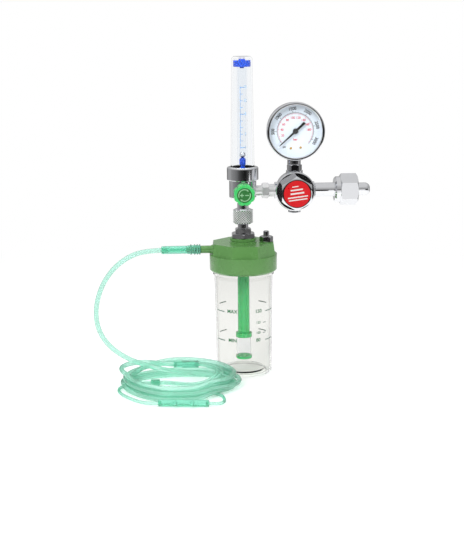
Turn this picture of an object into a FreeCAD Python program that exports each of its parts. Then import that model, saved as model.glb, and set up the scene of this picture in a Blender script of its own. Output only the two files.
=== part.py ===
import FreeCAD, Part

import math
import os

# Oxygen set for a gas cylinder: pressure regulator with gauge, flow control with a clear
# flow tube, humidifier bottle and nasal cannula. Millimetres, +Z up, front towards -Y.
# The origin is the centre of the inlet nut's open face, and +X points into the cylinder valve.

V = FreeCAD.Vector
X_AXIS, Y_AXIS, Z_AXIS = V(1, 0, 0), V(0, 1, 0), V(0, 0, 1)

# Clearances
running = 0.05          # radial, for a shaft in its bore
apart = 0.3             # between moving pieces that never touch

# Inlet nut and stem, along X
nut_flats = 28.6
nut_hex_length = 18.0
nut_hub_r = 13.3
nut_hub_length = 5.8
nut_thread_r = 11.5
nut_wall = 6.2          # back wall that the shoulder pulls on
stem_r = 7.1
stem_reach = 43.6       # from the nut's open face back to the regulator's boss
shoulder_r = 10.4
shoulder_length = 3.4
nipple_r = 6.5
nose_reach = 13.0       # the bullet end in front of the nut's open face
nose_ball = 5.2         # length of the bullet end
stem_bore_r = 1.8
filter_r = 3.0
filter_length = 9.0

# Regulator body, turned about a Y axis
regulator_x = -64.8
flange_r = 20.2
flange_length = 4.0
flange_front = -13.0
waist_r = 18.2
body_back = 15.0
body_edge = 3.0
boss_r = 8.6
boss_reach = 20.4       # from the regulator's axis to the end of each side boss
chamber_r = 13.0
chamber_depth = 3.0
seat_r = 1.6
seat_wall = 3.0
pressure_r = 5.2        # high pressure room behind the seat
passage_r = 1.5
diaphragm_r = 15.6
diaphragm_t = 0.8
bonnet_thread_r = 15.8
bonnet_thread_length = 3.4
bonnet_flats = 30.4
bonnet_length = 14.6
bonnet_dome = 1.4       # rise of the domed front face
bonnet_wall = 3.2
label_r = 13.5
label_t = 0.5
button_r = 10.5
button_t = 1.6
main_spring_r = 7.4
main_spring_wire = 2.0
main_spring_turns = 3.5
poppet_r = 3.4
poppet_length = 4.2
pin_r = 0.8
poppet_spring_r = 2.3
poppet_spring_wire = 0.6
poppet_spring_turns = 4.0
plug_flats = 11.0
plug_head = 4.0
plug_reach = 4.0        # how far the back plug screws in
relief_plug_r = 6.4
relief_plug_neck_r = 4.6
relief_plug_drop = 3.2

# Gauge, turned about a Y axis above the regulator
gauge_z = 61.6
bezel_rim = 1.3         # ring's thickness round the case
bezel_cover = 1.6       # how far the ring reaches in over the case's wall
bezel_front = -17.0
bezel_depth = 7.0
bezel_lip = 1.6
case_r = 28.2
case_wall = 1.1
case_back = 10.5
case_edge = 6.0
lens_t = 2.0
dial_y = -9.5
dial_t = 0.6
dial_hole_r = 2.0
dial_screw_r = 1.3
dial_screw_places = ((-4.6, -17.4), (5.4, -16.8))
socket_flats = 13.4
socket_neck_r = 6.9
socket_hex_length = 6.2
socket_thread_r = 5.2
socket_thread_length = 6.0
socket_bore_r = 1.2
shank_width = 12.0
shank_y = (0.0, 7.5)
shank_top = 17.5        # below the gauge's axis
needle_length = 22.6
needle_tail = 12.7
needle_tail_width = 2.7
needle_width = 1.6
needle_t = 0.5
needle_y = -12.2
needle_hub_r = 2.8
needle_rest = 222.6     # degrees from +X, counter-clockwise seen from the front
needle_sweep = 266.0
arbor_r = 0.7
gear_module = 0.6
pinion_teeth = 10
sector_teeth_full = 40
sector_fan = 100.0      # degrees of the sector that carry teeth
gear_t = 1.6
plate_t = 1.2
plate_front_y = -7.6
plate_gap = 4.6
plate_width = 18.0
plate_top = 6.5
pillar_r = 1.3
tube_bend_r = 20.0
tube_flat = 6.0
tube_thick = 2.2
tube_start, tube_end = 250.0, 8.0
tail_length = 4.5
link_t = 0.6

# Link between regulator and flow body, along X
flow_x = -118.0
link_collar_r = 5.3
link_flats = 14.2
link_hex = (-98.4, -91.4)
link_barrel_r = 6.6
link_bore_r = 2.2
link_depth = 6.0        # how far the link goes into the flow body

# Flow body, turned about the flow axis Z
body_r = 13.9
body_z = (-6.8, 11.6)
cone_drop = 5.4
neck_r = 5.8
tail_shoulder_r = 8.0
tail_z = -28.6          # sealing face inside the union nut
tail_shoulder_t = 3.0
valve_z = -0.6
valve_bore_r = 2.4
valve_seat_y = 3.0      # in front of the flow axis
valve_seat_r = 1.0
gas_r = 1.6             # passage up to the ball's seat, and out through the tail
return_r = 1.1          # drilled passage from round the inner tube to the tail
return_y = 8.6
return_z = -5.0
gland_r = 6.0
gland_length = 4.4
spindle_r = 2.2
spindle_tip = 5.0
knob_r = 11.0
knob_lobe_r = 4.3
knob_lobes = 8
knob_front = -29.0
knob_back = -15.2
knob_edge = 1.3
knob_disc_r = 7.6
knob_disc_t = 1.0
knob_recess = 0.8

# Flow tube
cap_r = 16.2
cap_z = (11.6, 25.0)
cap_lip = 1.6
tube_foot_r = 12.2
tube_top_r = 10.6
tube_top_z = 136.6
tube_wall = 1.7
tube_foot_flange_r = 14.2
tube_foot_flange_t = 2.6
tube_shoulder = 2.0
seal_t = 1.6
inner_tube_r = 5.1
inner_tube_top_z = 128.4
inner_foot_z = 15.6
ball_r = 3.2
bore_foot_r = 3.28
bore_top_r = 4.1
ball_z = 37.3
seat_top_z = 34.0
float_travel = 84.0
bush_z = (126.4, 132.6)
bush_crown_r = 3.4
bush_port_r = 1.2
stop_r = 2.2            # stem that ends the ball's rise
inner_seat_r = 6.4

# Union, humidifier adaptor and lid, about the flow axis
union_r = 9.9
union_z = (-33.8, -18.4)
union_edge = 0.9
union_thread_r = 8.6
adaptor_top_z = -29.8
adaptor_thread_z = -32.6
adaptor_neck_r = 5.4
small_hex_flats = 15.9
small_hex_z = (-43.4, -38.8)
lock_flats = 22.9
lock_z = (-48.6, -43.4)
adaptor_stem_r = 5.0
adaptor_foot_z = -72.0
adaptor_bore_r = 2.4
boss_top_r = 13.6
boss_groove_z = -51.4
octagon_top_z = -53.2
octagon_foot_r = 34.9
octagon_lean = 1.9      # how far the crown's corners lean in
skirt_top_z = -65.6
skirt_foot_z = -83.2
skirt_chamfer = 2.0
lid_inside_z = -59.0
outlet_z = -60.5
outlet_r = 4.0
outlet_bore_r = 1.9
outlet_tip_x = -177.2
outlet_barb_r = 3.1
relief_inset = 9.0      # from the crown's corners in to the relief valve's axis
relief_turn = -9.6      # degrees from +X about the flow axis
relief_collar_r = 7.1
relief_collar_z = (-52.6, -46.8)
relief_pad_r = 7.4
relief_pin_r = 3.0
relief_pin_top = -41.4
relief_disc_r = 4.0
relief_disc_t = 1.1
relief_roof = 1.5
relief_hole_r = 2.2
relief_spring_wire = 0.6
relief_spring_turns = 2.5

# Bottle and dip tube
bottle_foot_z = -191.8
bottle_foot_r = 28.9
bottle_top_r = 30.3
bottle_wall = 1.8
bottle_edge = 4.0
bottle_push = 3.0       # rise of the base's middle
bottle_bead_r = 31.6
bottle_bead_t = 2.2
bottle_neck_r = 30.0
bottle_rim_z = -70.4
gasket_t = 1.6
dip_r = 6.1
dip_bore_r = 4.0
dip_foot_z = -149.8
dip_flange_r = 8.4
dip_flange_t = 4.4
cup_r = 7.8
cup_wall = 1.0
cup_foot_z = -174.4
ring_r = 8.4
ring_t = 3.0
ring_port_r = 1.0
ring_port_place = 4.6

# Cannula
floor_z = bottle_foot_z
hose_d = 5.0
lip_d = 3.3
connector_r = 4.1
connector_bore_r = 2.4
connector_x = (-202.8, -162.4)
connector_rib_r = 5.2
connector_ribs = (-172.2, -168.4, -165.6, -163.1)
connector_rib_t = 1.2
coil_centre = V(-189.5, -51.0, 0)
coil_long, coil_short = 58.0, 57.5
coil_hole_centre = V(-187.0, -61.0, 0)
coil_hole_long, coil_hole_short = 42.0, 29.0
coil_height = 13.0
coil_edge = 4.0
junction_left = V(-192.5, -27.0, 0)
junction_narrow, junction_wide = 10.5, 16.8
junction_r = 3.4
junction_half_width = 4.6
junction_t = 6.2
slider_centre = V(-211.5, -47.0, 0)
slider_size = (9.0, 9.4, 5.0)
nasal_left, nasal_right = V(-208.5, -116.3, 0), V(-159.5, -121.7, 0)
nasal_r = 3.4
prong_r = 2.4
prong_length = 9.0
prong_places = (16.4, 33.0)     # from the left end
prong_lift = 20.0       # degrees above the surface

coil_top_z = floor_z + coil_height

# Route of the supply tube from the connector down on to the coil
supply_route = [
    V(-196.0, 0, -60.5),
    V(-214.0, 0, -60.5),
    V(-233.5, -0.8, -64.5),
    V(-252.0, -3.0, -76.8),
    V(-266.0, -6.5, -96.5),
    V(-272.5, -11.0, -121.0),
    V(-269.0, -15.0, -143.0),
    V(-256.0, -19.5, -159.5),
    V(-238.0, -24.5, -170.0),
    V(-218.5, -28.5, -176.2),
    V(-203.0, -31.0, -179.6),
]

# Routes of the two thin tubes from the Y-piece through the slider to the face piece's ends.
# Each begins 1.8 mm to one side of the Y-piece's middle, and passes under the coil's last turns.
lip_in_junction = coil_top_z + 3.2
lip_on_coil = coil_top_z + lip_d / 2 + 0.25
lip_on_floor = floor_z + lip_d / 2 + 0.1
lip_in_slider = floor_z + 3.2
lip_in_nasal = floor_z + nasal_r + 0.1
lip_left_route = [
    V(-170.5, -28.8, lip_in_junction),
    V(-160.5, -30.0, lip_on_coil + 0.6),
    V(-152.5, -36.5, lip_on_coil),
    V(-148.0, -46.5, lip_on_coil),
    V(-150.0, -56.5, floor_z + 12.5),
    V(-159.0, -62.0, floor_z + 8.0),
    V(-172.0, -60.0, floor_z + 4.5),
    V(-186.0, -53.0, floor_z + 3.4),
    V(-199.5, -45.1, lip_in_slider),
    V(-222.5, -45.1, lip_in_slider - 0.4),
    V(-235.0, -46.5, lip_on_floor),
    V(-245.5, -53.5, lip_on_floor),
    V(-249.0, -65.5, lip_on_floor),
    V(-245.5, -79.0, lip_on_floor),
    V(-238.0, -91.5, lip_on_floor),
    V(-229.5, -103.0, lip_on_floor),
    V(-221.5, -110.5, lip_on_floor + 0.3),
    V(-213.0, -115.8, lip_in_nasal - 0.5),
    V(-205.5, -116.6, lip_in_nasal),
]
lip_right_route = [
    V(-170.5, -25.2, lip_in_junction),
    V(-159.5, -26.3, lip_on_coil + 0.6),
    V(-149.5, -33.5, lip_on_coil),
    V(-143.8, -45.0, lip_on_coil),
    V(-145.5, -57.5, floor_z + 13.0),
    V(-155.0, -65.5, floor_z + 8.5),
    V(-169.0, -65.5, floor_z + 4.5),
    V(-184.0, -58.5, floor_z + 3.4),
    V(-200.5, -48.9, lip_in_slider),
    V(-219.5, -48.9, lip_in_slider - 0.2),
    V(-226.5, -55.5, lip_on_floor),
    V(-226.5, -65.5, lip_on_floor),
    V(-219.5, -73.5, lip_on_floor),
    V(-208.0, -77.8, lip_on_floor),
    V(-193.0, -80.0, lip_on_floor),
    V(-178.0, -81.0, lip_on_floor),
    V(-164.5, -80.5, lip_on_floor),
    V(-153.0, -83.5, lip_on_floor),
    V(-145.7, -91.5, lip_on_floor),
    V(-144.0, -102.0, lip_on_floor),
    V(-144.0, -112.0, lip_on_floor),
    V(-148.1, -118.6, lip_on_floor + 0.4),
    V(-155.0, -122.1, lip_in_nasal - 0.2),
    V(-162.5, -121.4, lip_in_nasal),
]


def save(node, *solids):
    """Write the solids of one node to its own file."""
    shape = solids[0] if len(solids) == 1 else Part.makeCompound(list(solids))
    if not shape.isValid():
        print("not valid:", node)
    shape.exportStep("parts/" + node + ".step")


def outline(points):
    """A closed face from corner points; a triple holds an arc's middle and its end."""
    edges = []
    here = V(points[0][0], 0, points[0][1])
    first = here
    for item in list(points[1:]) + [points[0]]:
        if len(item) == 4:
            middle = V(item[0], 0, item[1])
            there = V(item[2], 0, item[3])
            edges.append(Part.Arc(here, middle, there).toShape())
        else:
            there = V(item[0], 0, item[1])
            if there.distanceToPoint(here) > 1e-6:
                edges.append(Part.LineSegment(here, there).toShape())
        here = there
    if here.distanceToPoint(first) > 1e-6:
        edges.append(Part.LineSegment(here, first).toShape())
    return Part.Face(Part.Wire(edges))


def stand(shape, origin, axis):
    """Lay a shape made about +Z along another axis from an origin."""
    laid = shape.copy()
    laid.Placement = FreeCAD.Placement(origin, FreeCAD.Rotation(Z_AXIS, axis)).multiply(shape.Placement)
    return laid


def turned(points, origin=V(0, 0, 0), axis=Z_AXIS):
    """Turn an outline of (radius, height) about its own axis."""
    return stand(outline(points).revolve(V(0, 0, 0), Z_AXIS, 360), origin, axis)


def rod(r, low, high, origin=V(0, 0, 0), axis=Z_AXIS):
    """A plain cylinder from one height to another along an axis."""
    return Part.makeCylinder(r, high - low, origin + axis * low, axis)


def tube(r_out, r_in, low, high, origin=V(0, 0, 0), axis=Z_AXIS):
    """A plain ring."""
    return rod(r_out, low, high, origin, axis).cut(rod(r_in, low - 1, high + 1, origin, axis))


def prism(sides, across_flats, low, high, phase=0.0):
    """An upright prism of regular section, with a corner at the phase angle."""
    r = across_flats / 2 / math.cos(math.pi / sides)
    corners = []
    for i in range(sides + 1):
        angle = math.radians(phase) + 2 * math.pi * i / sides
        corners.append(V(r * math.cos(angle), r * math.sin(angle), low))
    return Part.Face(Part.makePolygon(corners)).extrude(V(0, 0, high - low))


def hexagon(across_flats, low, high, phase=0.0, low_edge=True, high_edge=True):
    """A hexagon with its corners turned off at 30 degrees, as on a nut."""
    flat_r = across_flats / 2
    corner_r = flat_r / math.cos(math.pi / 6)
    rise = (corner_r - flat_r) * math.tan(math.radians(30)) + 0.15
    face_r = flat_r - 0.15 / math.tan(math.radians(30)) * 0.5
    profile = [(0, low)]
    if low_edge:
        profile += [(face_r, low), (corner_r + 0.01, low + rise)]
    else:
        profile += [(corner_r + 0.01, low)]
    if high_edge:
        profile += [(corner_r + 0.01, high - rise), (face_r, high)]
    else:
        profile += [(corner_r + 0.01, high)]
    profile += [(0, high)]
    return prism(6, across_flats, low, high, phase).common(turned(profile))


def spring(r, wire, low, high, turns, origin, axis):
    """A coil spring of eight-sided wire whose ends touch the two heights."""
    pitch = (high - low - wire) / turns
    helix = Part.makeHelix(pitch, pitch * turns, r)
    corners = []
    for i in range(9):
        angle = math.pi / 8 + math.pi * i / 4
        corners.append(V(r + wire / 2 * math.cos(angle), 0, wire / 2 * math.sin(angle)))
    coil = helix.makePipeShell([Part.makePolygon(corners)], True, True)
    coil.translate(V(0, 0, low + wire / 2))
    return stand(coil, origin, axis)


def gear(module, teeth, first, last, bore_r, low, high, root_r=None):
    """Straight-sided teeth numbered from first to last round a disc; tooth 0 points to +Z."""
    pitch_r = module * teeth / 2
    tip_r = pitch_r + 0.8 * module
    foot_r = root_r or pitch_r - 1.2 * module
    step = 2 * math.pi / teeth
    blank = rod(foot_r, low, high)
    for i in range(first, last + 1):
        middle = math.pi / 2 + i * step
        corners = []
        for r, share in ((foot_r - 0.3, 0.27), (tip_r, 0.13)):
            corners.append((r, middle - share * step, middle + share * step))
        (r0, a0, b0), (r1, a1, b1) = corners
        tooth = [(r0, a0), (r1, a1), (r1, b1), (r0, b0), (r0, a0)]
        points = [V(r * math.cos(a), r * math.sin(a), low) for r, a in tooth]
        blank = blank.fuse(Part.Face(Part.makePolygon(points)).extrude(V(0, 0, high - low)))
    if bore_r:
        blank = blank.cut(rod(bore_r, low - 1, high + 1))
    return blank.removeSplitter()


def towards_front(shape, x, y, z, turn=0.0):
    """Lay a shape made about +Z so that its axis is +Y and its own +Y points up."""
    shape.rotate(V(0, 0, 0), Z_AXIS, turn)
    shape.rotate(V(0, 0, 0), X_AXIS, 90)
    shape.translate(V(x, y, z))
    return shape


def cord_path(route, name, diameter):
    """Straight runs with a tangent arc at each corner, as large as the runs allow."""
    edges = []
    radii = []
    here = route[0]
    for before, corner, after in zip(route, route[1:], route[2:]):
        back, ahead = before - corner, after - corner
        shorter = min(back.Length, ahead.Length)
        turn = math.pi - back.getAngle(ahead)
        reach = 0.45 * shorter
        radius = reach / math.tan(turn / 2)
        radii.append(radius)
        back.normalize()
        ahead.normalize()
        start, end = corner + back * reach, corner + ahead * reach
        inward = back + ahead
        inward.normalize()
        middle = corner + inward * (math.hypot(radius, reach) - radius)
        edges.append(Part.LineSegment(here, start).toShape())
        edges.append(Part.Arc(start, middle, end).toShape())
        here = end
    edges.append(Part.LineSegment(here, route[-1]).toShape())
    path = Part.Wire(edges)
    print(name, "length %.0f mm," % path.Length, "least bend radius %.1f mm," % min(radii),
          "in diameters %.1f" % (min(radii) / diameter))
    return path


def cord(route, diameter, name):
    """A round tube along a route, as one plain solid."""
    path = cord_path(route, name, diameter)
    along = route[1] - route[0]
    section = Part.Wire(Part.Circle(route[0], along, diameter / 2).toShape())
    solid = path.makePipeShell([section], True, False)
    expected = math.pi * diameter ** 2 / 4 * path.Length
    print(name, "volume over section times length %.4f" % (solid.Volume / expected))
    return solid


def make_inlet():
    """The stem with its shoulder and nose, the loose nut on it and the filter in its end."""
    hub_back = -(nut_hex_length + nut_hub_length)
    wall_front = hub_back + nut_wall
    hexagonal = hexagon(nut_flats, -nut_hex_length, 0, phase=0, low_edge=True)
    hub = turned([(0, hub_back), (nut_hub_r - 1.6, hub_back), (nut_hub_r, hub_back + 1.6),
                  (nut_hub_r, -nut_hex_length + 1), (0, -nut_hex_length + 1)])
    nut = hexagonal.fuse(hub)
    nut = nut.cut(rod(nut_thread_r, wall_front, 1)).cut(rod(stem_r + running, hub_back - 1, 0))
    mouth = turned([(0, -1.0), (nut_thread_r, -1.0), (nut_thread_r + 1.0, 0), (nut_thread_r + 1.0, 1),
                    (0, 1)])
    nut = nut.cut(mouth)
    save("inlet_nut", stand(nut, V(0, 0, 0), X_AXIS))

    shoulder_back = wall_front + apart
    nose_start = nose_reach - nose_ball
    nose_flat = nipple_r * 0.5
    stem = turned([
        (0, -stem_reach), (stem_r, -stem_reach), (stem_r, shoulder_back),
        (shoulder_r, shoulder_back), (shoulder_r, shoulder_back + shoulder_length),
        (nipple_r, shoulder_back + shoulder_length + 1.5), (nipple_r, nose_start),
        (nipple_r * 0.87, nose_start + nose_ball * 0.6, nose_flat, nose_reach), (0, nose_reach)])
    stem = stem.cut(rod(stem_bore_r, -stem_reach - 1, nose_reach + 1))
    stem = stem.cut(rod(filter_r, nose_reach - filter_length, nose_reach + 1))
    save("inlet_stem", stand(stem, V(0, 0, 0), X_AXIS))
    strainer = tube(filter_r, stem_bore_r * 0.6, nose_reach - filter_length, nose_reach - 0.8)
    strainer = strainer.fuse(rod(filter_r, nose_reach - 2.0, nose_reach - 0.8))
    save("inlet_filter", stand(strainer, V(0, 0, 0), X_AXIS))


def make_regulator():
    """The body with its four bosses, and what is screwed into it."""
    middle = V(regulator_x, 0, 0)
    ledge = flange_front + bonnet_thread_length + diaphragm_t
    chamber_back = ledge + chamber_depth
    seat_back = chamber_back + seat_wall
    room_back = body_back - plug_reach
    body = turned([
        (0, flange_front), (flange_r - 1.2, flange_front),
        (flange_r - 0.35, flange_front + 0.35, flange_r, flange_front + 1.2),
        (flange_r, flange_front + flange_length - 0.8), (flange_r - 0.8, flange_front + flange_length),
        (waist_r, flange_front + flange_length + 0.6), (waist_r, body_back - body_edge),
        (waist_r - 0.3 * body_edge, body_back - 0.3 * body_edge, waist_r - body_edge, body_back),
        (0, body_back)], middle, Y_AXIS)
    for axis in (X_AXIS, -X_AXIS, Z_AXIS):
        body = body.fuse(rod(boss_r, 10, boss_reach, middle, axis))
    body = body.fuse(rod(relief_plug_neck_r + 2.2, 10, flange_r - 0.6, middle, -Z_AXIS))
    cuts = [
        rod(bonnet_thread_r, flange_front - 1, ledge, middle, Y_AXIS),
        rod(chamber_r, ledge - 1, chamber_back, middle, Y_AXIS),
        rod(seat_r, chamber_back - 1, seat_back + 1, middle, Y_AXIS),
        rod(pressure_r, seat_back, body_back + 1, middle, Y_AXIS),
        rod(stem_r, -regulator_x - stem_reach - 2.0, boss_reach + 1, middle, X_AXIS),
        rod(stem_bore_r, 0, boss_reach, middle, X_AXIS),
        rod(link_bore_r, chamber_r - 3.0, boss_reach + 1, middle, -X_AXIS),
        rod(passage_r, chamber_back - 1, 0.5, middle - X_AXIS * (chamber_r - 2.4), Y_AXIS),
        rod(link_barrel_r - 1.2, boss_reach - 5.0, boss_reach + 1, middle, -X_AXIS),
        rod(socket_thread_r, boss_reach - socket_thread_length, boss_reach + 1, middle, Z_AXIS),
        rod(socket_bore_r, 0, boss_reach, middle, Z_AXIS),
        rod(relief_plug_neck_r, flange_r - 6.0, flange_r + 1, middle, -Z_AXIS),
        rod(passage_r, 8.0, flange_r - 5.0, middle, -Z_AXIS),
    ]
    for tool in cuts:
        body = body.cut(tool)
    save("regulator_body", body.removeSplitter())

    bonnet_front = flange_front - bonnet_length
    face_y = bonnet_front - bonnet_dome
    corner_r = bonnet_flats / 2 / math.cos(math.pi / 6)
    bar = prism(6, bonnet_flats, 0, bonnet_length + bonnet_dome, phase=30)
    dome = turned([
        (0, 0), (label_r + 0.8, 0), (corner_r - 1.6, 0.5, corner_r + 0.2, bonnet_dome + 3.4),
        (corner_r + 0.2, bonnet_length + bonnet_dome), (0, bonnet_length + bonnet_dome)])
    bonnet = stand(bar.common(dome), V(regulator_x, face_y, 0), Y_AXIS)
    skirt_back = flange_front + bonnet_thread_length
    bonnet = bonnet.fuse(rod(bonnet_thread_r, flange_front, skirt_back, middle, Y_AXIS))
    spring_room = turned([
        (0, face_y + bonnet_wall), (main_spring_r + main_spring_wire, face_y + bonnet_wall),
        (main_spring_r + main_spring_wire, flange_front - 2.0), (button_r + 1.2, flange_front - 0.5),
        (button_r + 1.2, skirt_back + 1), (0, skirt_back + 1)], middle, Y_AXIS)
    label_seat = rod(label_r + running, face_y - 1, face_y + label_t, middle, Y_AXIS)
    save("bonnet", bonnet.cut(spring_room).cut(label_seat).removeSplitter())
    save("label_disc", rod(label_r, face_y - 0.1, face_y + label_t, middle, Y_AXIS))

    sheet = rod(diaphragm_r, skirt_back, skirt_back + diaphragm_t, middle, Y_AXIS)
    save("diaphragm", sheet)
    pilot_r = main_spring_r - main_spring_wire / 2 - 0.2
    button = turned([
        (0, skirt_back - button_t - 0.8), (pilot_r, skirt_back - button_t - 0.8),
        (pilot_r, skirt_back - button_t),
        (button_r, skirt_back - button_t), (button_r, skirt_back), (0, skirt_back)], middle, Y_AXIS)
    save("spring_button", button)
    save("main_spring", spring(main_spring_r, main_spring_wire, face_y + bonnet_wall, skirt_back - button_t,
                               main_spring_turns, middle, Y_AXIS))

    head_front = seat_back + 0.02
    poppet = turned([
        (0, skirt_back + diaphragm_t), (pin_r, skirt_back + diaphragm_t), (pin_r, head_front),
        (seat_r + 0.6, head_front), (poppet_r, head_front + 1.4), (poppet_r, head_front + poppet_length),
        (poppet_spring_r - 0.6, head_front + poppet_length),
        (poppet_spring_r - 0.6, head_front + poppet_length + 1.5),
        (0, head_front + poppet_length + 1.5)], middle, Y_AXIS)
    save("poppet", poppet)
    save("poppet_spring", spring(poppet_spring_r, poppet_spring_wire, head_front + poppet_length, room_back,
                                 poppet_spring_turns, middle, Y_AXIS))
    plug = rod(pressure_r, room_back, body_back + 0.5, middle, Y_AXIS)
    head = stand(hexagon(plug_flats, body_back, body_back + plug_head, 30, low_edge=False), middle, Y_AXIS)
    save("valve_plug", plug.fuse(head).removeSplitter())

    relief = turned([
        (0, flange_r - 5.6), (relief_plug_neck_r, flange_r - 5.6), (relief_plug_neck_r, flange_r - 0.6),
        (relief_plug_r, flange_r - 0.6), (relief_plug_r, flange_r + relief_plug_drop - 0.8),
        (relief_plug_r - 0.8, flange_r + relief_plug_drop), (2.0, flange_r + relief_plug_drop),
        (2.0, flange_r + 0.6), (0, flange_r + 0.6)], middle, -Z_AXIS)
    save("relief_plug", relief)


def make_gauge():
    """Case, dial and movement of the contents gauge."""
    middle = V(regulator_x, 0, gauge_z)
    case_front = dial_y + dial_t + 0.2
    inner_r = case_r - case_wall
    edge = case_edge
    inner_edge = edge - case_wall
    back_in = case_back - case_wall
    bend = 1 - math.sqrt(0.5)
    case = turned([
        (case_r, dial_y - 2.0), (case_r, case_back - edge),
        (case_r - bend * edge, case_back - bend * edge, case_r - edge, case_back),
        (0, case_back), (0, back_in), (inner_r - inner_edge, back_in),
        (inner_r - bend * inner_edge, back_in - bend * inner_edge, inner_r, back_in - inner_edge),
        (inner_r, case_front), (inner_r - 1.4, case_front), (inner_r - 1.4, case_front - 0.2),
        (inner_r, case_front - 0.2), (inner_r, dial_y - 2.0)], middle, Y_AXIS)
    case = case.cut(rod(socket_neck_r + running, 20, 32, middle + Y_AXIS * 0.5 * sum(shank_y), -Z_AXIS))
    save("gauge_case", case.removeSplitter())

    bezel_back = bezel_front + bezel_depth
    lens_front = bezel_front + bezel_lip
    bezel_r = case_r + bezel_rim
    lip_r = case_r - bezel_cover
    bezel = turned([
        (lip_r, lens_front), (lip_r, bezel_front + 0.9),
        (lip_r + 0.35, bezel_front + 0.2, lip_r + 1.0, bezel_front),
        (bezel_r - 1.1, bezel_front), (bezel_r - 0.3, bezel_front + 0.3, bezel_r, bezel_front + 1.1),
        (bezel_r, bezel_back - 0.5), (bezel_r - 0.5, bezel_back), (case_r, bezel_back),
        (case_r, lens_front)], middle, Y_AXIS)
    save("gauge_bezel", bezel)
    save("gauge_lens", rod(case_r, lens_front, lens_front + lens_t, middle, Y_AXIS))

    dial = rod(inner_r, dial_y, dial_y + dial_t, middle, Y_AXIS)
    dial = dial.cut(rod(dial_hole_r, dial_y - 1, dial_y + 1, middle, Y_AXIS))
    screws = []
    for x, z in dial_screw_places:
        place = middle + V(x, 0, z)
        dial = dial.cut(rod(dial_screw_r * 0.6, dial_y - 1, dial_y + 1, place, Y_AXIS))
        head = turned([
            (0, dial_y - 0.7), (dial_screw_r * 0.6, dial_y - 0.6), (dial_screw_r, dial_y - 0.2),
            (dial_screw_r, dial_y), (dial_screw_r * 0.6, dial_y), (dial_screw_r * 0.6, dial_y + dial_t),
            (0, dial_y + dial_t)], place, Y_AXIS)
        corner = place + V(-1.5 * dial_screw_r, dial_y - 0.75, -0.17)
        slot = Part.makeBox(3 * dial_screw_r, 0.3, 0.35, corner)
        screws.append(head.cut(slot))
    save("gauge_dial", dial)
    save("dial_screws", *screws)

    half_tail, half_needle = needle_tail_width / 2, needle_width / 2
    blade = Part.Face(Part.makePolygon([
        V(-needle_tail, -half_tail, 0), V(0, -half_tail * 0.8, 0),
        V(needle_length - 5, -half_needle * 0.7, 0), V(needle_length, -0.12, 0),
        V(needle_length, 0.12, 0), V(needle_length - 5, half_needle * 0.7, 0),
        V(0, half_tail * 0.8, 0), V(-needle_tail, half_tail, 0), V(-needle_tail, -half_tail, 0)]))
    needle = blade.extrude(V(0, 0, needle_t))
    hub = turned([
        (0, -0.6), (needle_hub_r, -0.6), (needle_hub_r, needle_t + 0.4),
        (needle_hub_r - 0.7, needle_t + 0.9), (0, needle_t + 1.0)])
    needle = needle.fuse(hub).cut(rod(arbor_r, -2, needle_t))
    save("gauge_needle", towards_front(needle, regulator_x, needle_y + needle_t, gauge_z, needle_rest))

    plate_back_y = plate_front_y + plate_gap
    gear_y = plate_front_y + plate_t + 0.9
    mid_turn = needle_sweep / 2
    ratio = pinion_teeth / sector_teeth_full
    pinion = gear(gear_module, pinion_teeth, 0, pinion_teeth - 1, 0, 0, gear_t + 0.6)
    pinion.rotate(V(0, 0, 0), Z_AXIS, 180 / pinion_teeth)
    pinion = towards_front(pinion, regulator_x, gear_y + gear_t + 0.3, gauge_z, mid_turn)
    arbor = rod(arbor_r, needle_y + 0.5 * needle_t, plate_back_y + plate_t * 0.8, middle, Y_AXIS)
    save("gauge_pinion", pinion.fuse(arbor))

    pitch = gear_module * (pinion_teeth + sector_teeth_full) / 2
    sector_r = gear_module * sector_teeth_full / 2
    half = int(sector_fan / 360 * sector_teeth_full / 2)
    sector = gear(gear_module, sector_teeth_full, -half, half, 0, 0, gear_t, sector_r - 1.2 * gear_module)
    fan = [V(0, -3.0, -1)]
    for i in range(-6, 7):
        angle = math.radians(90 + i * (sector_fan + 4) / 12)
        fan.append(V(math.cos(angle), math.sin(angle), 0) * (sector_r + 4) + V(0, 0, -1))
    fan.append(fan[0])
    wedge = Part.Face(Part.makePolygon(fan)).extrude(V(0, 0, gear_t + 2))
    sector = sector.common(wedge)
    window = tube(sector_r - 3.4, 4.6, -1, gear_t + 1)
    fan_in = [V(0, 0, -1)]
    for i in range(-4, 5):
        angle = math.radians(90 + i * (sector_fan - 34) / 8)
        fan_in.append(V(math.cos(angle), math.sin(angle), 0) * (sector_r + 4) + V(0, 0, -1))
    fan_in.append(fan_in[0])
    wedge_in = Part.Face(Part.makePolygon(fan_in)).extrude(V(0, 0, gear_t + 2))
    sector = sector.cut(window.common(wedge_in))
    tail = Part.makeBox(tail_length, 2.4, gear_t, V(0, -1.2, 0))
    tail = tail.fuse(rod(1.4, 0, gear_t, V(tail_length, 0, 0)))
    sector = sector.fuse(tail).fuse(rod(2.2, 0, gear_t)).removeSplitter()
    sector = sector.cut(rod(arbor_r, -1, gear_t + 1, V(tail_length, 0, 0)))
    sector = towards_front(sector, regulator_x, gear_y + gear_t, gauge_z - pitch, -mid_turn * ratio)
    pivot = V(regulator_x, 0, gauge_z - pitch)
    sector = sector.fuse(rod(arbor_r, plate_front_y + 0.1, plate_back_y + plate_t * 0.8, pivot, Y_AXIS))
    save("sector_gear", sector)

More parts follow.
